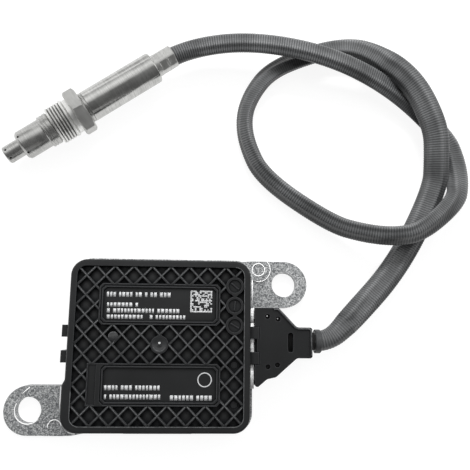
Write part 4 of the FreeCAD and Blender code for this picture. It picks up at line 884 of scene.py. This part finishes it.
def rib_crest_highlights():
    """Painted highlights along the crossed ribs, from frame to rim, clear of the fields, clocks and
    gate; then painted highlights on the lit edges of the gate, the dome and the rim.

    The ribs run along x = x0 + i a + t a, y = y0 +- t b, where a and b are half a cell.
    """
    x0, y0 = GATE
    length, width, columns, rows = LATTICE
    a, b = length / columns / 2, width / rows / 2
    steps = np.arange(0, 2 * rows, 0.04)
    lines = []
    for rise in (1, -1):
        for i in range(-2 * rows, 2 * columns + 1, 2):
            x = x0 - length / 2 + (i + steps) * a
            y = y0 + rise * (steps * b - width / 2)
            free = np.abs(x - x0) < length / 2 - RIM_GAP
            free &= np.abs(y - y0) < width / 2 - RIM_GAP
            for low_x, low_y, high_x, high_y in KEPT_CLEAR:
                free &= (x < low_x) | (x > high_x) | (y < low_y) | (y > high_y)
            for cx, cy, r in ROUND_CLEAR:
                free &= np.hypot(x - cx, y - cy) > r
            turns = np.flatnonzero(np.diff(np.concatenate(([0], free.astype(int), [0]))))
            for start, end in zip(turns[::2], turns[1::2] - 1):
                if end - start > SHORTEST_CREST:
                    lines.append([(x[k], y[k], RIB_TOP) for k in (start, end)])
    lines += [arc(*GATE, 24.58, 2.95, 205, 335), arc(*DOME, 24.45, 2.1, 55, 185)]
    left, right = RIM_LEFT + RIM_R, RIM_RIGHT - RIM_R
    low, high = RIM_LOW + RIM_R, RIM_HIGH - RIM_R
    lines.append(np.vstack(([(RIM_LEFT, -20.0, COVER_TOP), (RIM_LEFT, -25.0, COVER_TOP)],
                            arc(left, low, COVER_TOP, RIM_R, 180, 270, 8),
                            arc(right, low, COVER_TOP, RIM_R, 270, 360, 8),
                            arc(right, high, COVER_TOP, RIM_R, 0, 90, 8))))
    return ridges("rib_crest_highlights", lines, width=0.45, height=0.08)


# The casting beside the outlet: low and high corners of its top and of the two legs below it
CAST_LEDGE = ((43.7, -19.0, 9.2, 45.6, -7.4, 18.3), (43.7, -7.4, 16.9, 45.6, 11.4, 18.3),
              (43.7, 11.4, 9.2, 45.6, 18.4, 18.3))
STAKE = (48.8, 38.4)             # on the right ear; the left ear's is opposite
EAR_TOP, STAKE_TOP, BASE_RIM = 5.0, 5.5, 9.0
DIMPLE_R, PAD_R = 3.15, 6.0
EAR_STEP_X = -46.95


def cast_highlights_and_scratch():
    """Painted highlights on the casting's edges: stake rims, the pad's step, the rims beside the
    cover and one hole; and a scratch on the left ear."""
    lines = [arc(*STAKE, STAKE_TOP, DIMPLE_R, 0, 360),
             arc(-STAKE[0], -STAKE[1], STAKE_TOP, DIMPLE_R, 10, 190),
             arc(*STAKE, STAKE_TOP - 0.05, PAD_R, -100, 45),
             [(45.4, 19.6, BASE_RIM), (45.4, 33.0, BASE_RIM)],
             [(EAR_STEP_X, y, EAR_TOP) for y in (-19.8, -27.0, -33.2)],
             arc(-38.7, -33.6, EAR_TOP, 8.25, 181, 268),
             arc(-61.8, -31.0, EAR_TOP, 6.4, 150, 320),
             [(-65.2, -23.5, EAR_TOP), (-63.4, -21.8, EAR_TOP), (-61.6, -20.1, EAR_TOP)]]
    return ridges("cast_highlights_and_scratch", lines, width=0.55, height=0.12)


LIP_TOP = 20.5
LIP_LINE = ((54.9, 18.1), (56.9, 18.1), (58.0, 17.2), (64.9, 9.9), (66.4, 9.05),
            (71.8, 9.05), (72.7, 8.2), (72.7, -3.6))


def outlet_lip_highlight():
    """Painted highlight on the lip's top, along the outlet's upper slant and round its neck."""
    line = [(x, y, LIP_TOP) for x, y in LIP_LINE]
    return ridges("outlet_lip_highlight", [line], width=0.8, height=0.1)


PEG_HOLES = ((51.9, 14.6), (56.9, 13.4), (52.1, -8.8), (56.6, -7.9))
PEG_Z, PEG_GLINT_Z = 19.24, 19.3
SLOT_X, SLOT_ENDS, SLOT_Z = 62.9, (-1.8, 2.5, 6.8), 18.54


def outlet_recesses():
    """Unlit floors of the outlet's slot and peg holes, and light that shows in the upper two."""
    floors = [arc(x, y, PEG_Z, 0.54, 0, 360, 24) for x, y in PEG_HOLES]
    slot = [(SLOT_X, y, SLOT_Z) for y in SLOT_ENDS]
    # pale spots in the upper two holes: painted glints
    glints = [arc(x - 0.1, y + 0.25, PEG_GLINT_Z, 0.18, 0, 360, 16) for x, y in PEG_HOLES[:2]]
    for name, lines, width, height, finish in (
            ("outlet_recess_floors", floors, 1.1, 0.03, SHADE),
            ("outlet_slot_floor", [slot], 2.5, 0.03, SHADE),
            ("outlet_peg_glints", glints, 0.4, 0.04, PALE_STUB_AND_GLINT)):
        stand_for(ridges(name, lines, width, height), UNIT, finish, "black_moulding")


OUTLET_SEAL = [(65.5, 0.0), (65.5, 5.95), (66.9, 5.95), (66.9, 5.15), (73.3, 5.15), (73.3, 4.3),
               (75.9, 4.3), (75.9, 0.0)]
LEAD_COLLAR = [(75.9, 5.2, 0.1), (75.9, 5.75, 0.2), (78.35, 5.75, 0.3), (78.9, 5.38, 0.1),
               (78.9, 5.2, 0.05)]


def control_unit():
    """Base, cover, outlet and connector: the solids with their edges softened, and what lies on
    them."""
    stand_for(softened("cast_base", "base_plate", 0.3), UNIT, CAST, "cast_alloy", "base_plate")
    stand_for(softened("ribbed_cover", "cover", 0.2), UNIT, COVER, "black_moulding", "cover")
    # the ledge takes the paler copy of the casting's finish: painted light
    stand_for(blocks("cast_ledge", CAST_LEDGE), UNIT, CAST_HIGHLIGHT, "cast_alloy")
    stand_for(cast_highlights_and_scratch(), UNIT, CAST_HIGHLIGHT, "cast_alloy")
    for piece, finish in ((gate_dish, GATE_BLACK), (dome_cap, GATE_BLACK), (gate_stub, PALE_STUB_AND_GLINT),
                          (rib_crest_highlights, CREST_HIGHLIGHT), (outlet_lip_highlight, CREST_HIGHLIGHT)):
        stand_for(piece(), UNIT, finish, "black_moulding")
    outlet_recesses()
    for name, node in (("outlet_top", "outlet_upper"), ("outlet_bottom", "outlet_lower")):
        stand_for(softened(name, node, 0.25), UNIT, OUTLET, "black_moulding", node)
    seal = turned("outlet_seal", OUTLET_SEAL, place=on_outlet, segments=64)
    stand_for(seal, UNIT, RUBBER, "black_rubber", "wire_seal")
    collar = turned("lead_collar", LEAD_COLLAR, place=on_outlet, segments=64)
    stand_for(collar, UNIT, COLLAR, "black_moulding", "hose_collar")


SHOWN_AS_THEY_ARE = (
    (RUBBER, "cover_seal", "rear_plug"),
    (COVER, "connector_socket"),
    (LAMINATE, "circuit_board"),
    (ZINC, "board_screws", "holder_band", "packing_ring"),
    (SILICONE, "thermal_pad"),
    (EPOXY, "microcontroller", "driver_chips", "power_coil", "chip_parts"),
    (CAN, "crystal", "capacitors"),
    (TIN, "connector_pins", "lead_terminals", "contacts"),
    (WIRE, "lead_wires", "sensor_wires"),
    (CERAMIC, "sensing_element", "contact_holder", "front_bush", "powder_packing", "rear_bush"),
)


def carried_nodes():
    """Solids that show as they are: the connector and everything sealed inside."""
    for material, *names in SHOWN_AS_THEY_ARE:
        for name in names:
            paint(nodes[name], material)


# ---- Floor, light and world

FLOOR_HALF = 4000.0
FLOOR_GLOW = 0.9
# The room from the near side (0) over the zenith (0.5) to the far side (1), as sRGB tones
WORLD_TONES = [(0.0, "#9c9c9c"), (0.065, "#8f8f8f"), (0.078, "#6a6a6a"), (0.084, "#f0f0f0"),
               (0.09, "#5a5a5a"), (0.2, "#5c5c5c"), (0.3, "#686868"), (0.4, "#6a6a6a"),
               (0.45, "#707070"), (0.53, "#c4c4c4"), (0.62, "#e6e6e6"), (0.7, "#fafafa"),
               (0.79, "#d5d5d5"), (0.86, "#a6a6a6"), (0.885, "#a8a8a8"), (0.895, "#ffffff"),
               (0.93, "#ffffff"), (0.94, "#b0b0b0"), (1.0, "#c0c0c0")]
WORLD_FAR = (-0.1, 0.995, 0.0)
WORLD_STRENGTH = 1.5


def stage_floor():
    """A wide floor that is white to the camera and in reflections, grey to the light that it
    throws back, and keeps soft shadows."""
    far = FLOOR_HALF
    points = [(-far, -far, 0.0), (far, -far, 0.0), (far, far, 0.0), (-far, far, 0.0)]
    floor = mesh_piece("studio_floor", points, [(0, 1, 2, 3)], flat=True)
    material, tree, shader, place = finish_named("painted_studio_floor", Roughness=0.9)
    base = ramped(tree, noise(tree, place, 3.0), [(0.4, "#6c6c6c"), (0.6, "#707070")])
    feed(tree, shader, Base_Color=base)
    ray = add(tree, "LightPath").outputs
    seen = maths(tree, "MAXIMUM", ray["Is Camera Ray"], ray["Is Glossy Ray"])
    seen = maths(tree, "MAXIMUM", seen, ray["Is Transmission Ray"])
    glow = add(tree, "Emission", {"Color": linear("#ffffff"), "Strength": FLOOR_GLOW})
    dark = add(tree, "Emission", {"Strength": 0.0})
    picked = add(tree, "MixShader", {0: seen, 1: dark.outputs[0], 2: glow.outputs[0]})
    both = add(tree, "AddShader", {0: shader.outputs[0], 1: picked.outputs[0]})
    output = next(n for n in tree.nodes if n.type == "OUTPUT_MATERIAL")
    tree.links.new(both.outputs[0], output.inputs["Surface"])
    floor.data.materials.append(material)


def softbox(name, place, aim, size, power):
    """A rectangular studio lamp aimed at a point; places in millimetres."""
    light = bpy.data.lights.new(name, "AREA")
    light.shape = "RECTANGLE"
    light.size, light.size_y = size[0] * MM, size[1] * MM
    light.energy = power
    lamp = show(bpy.data.objects.new(name, light))
    lamp.location = Vector(place) * MM
    lamp.rotation_euler = (Vector(aim) - Vector(place)).to_track_quat("-Z", "Y").to_euler()
    lamp.visible_glossy = False


def studio_light():
    """A lamp on the far side, a larger, weaker one high on the right, and the room's tones."""
    softbox("key_lamp", (60, 440, 350), aim=(20, 30, 0), size=(200, 120), power=3.0)
    softbox("fill_lamp", (300, 200, 900), aim=(20, 60, 0), size=(500, 500), power=1.5)
    world = bpy.data.worlds.new("studio_world")
    bpy.context.scene.world = world
    world.use_nodes = True
    tree = world.node_tree
    tree.nodes.clear()
    direction = add(tree, "TexCoord").outputs["Generated"]
    towards = add(tree, "VectorMath", {0: direction, 1: WORLD_FAR}, operation="DOT_PRODUCT")
    half = ranged(tree, towards.outputs["Value"], -1.0, 1.0, 0.0, 1.0)
    room = add(tree, "Background", {"Color": ramped(tree, half, WORLD_TONES),
                                    "Strength": WORLD_STRENGTH})
    add(tree, "OutputWorld", {"Surface": room.outputs[0]})


photo_camera()
stage_floor()
studio_light()
ribbed_lead()
fitting_nut()
probe()
control_unit()
marks()
carried_nodes()

bpy.context.scene.view_settings.view_transform = "Standard"
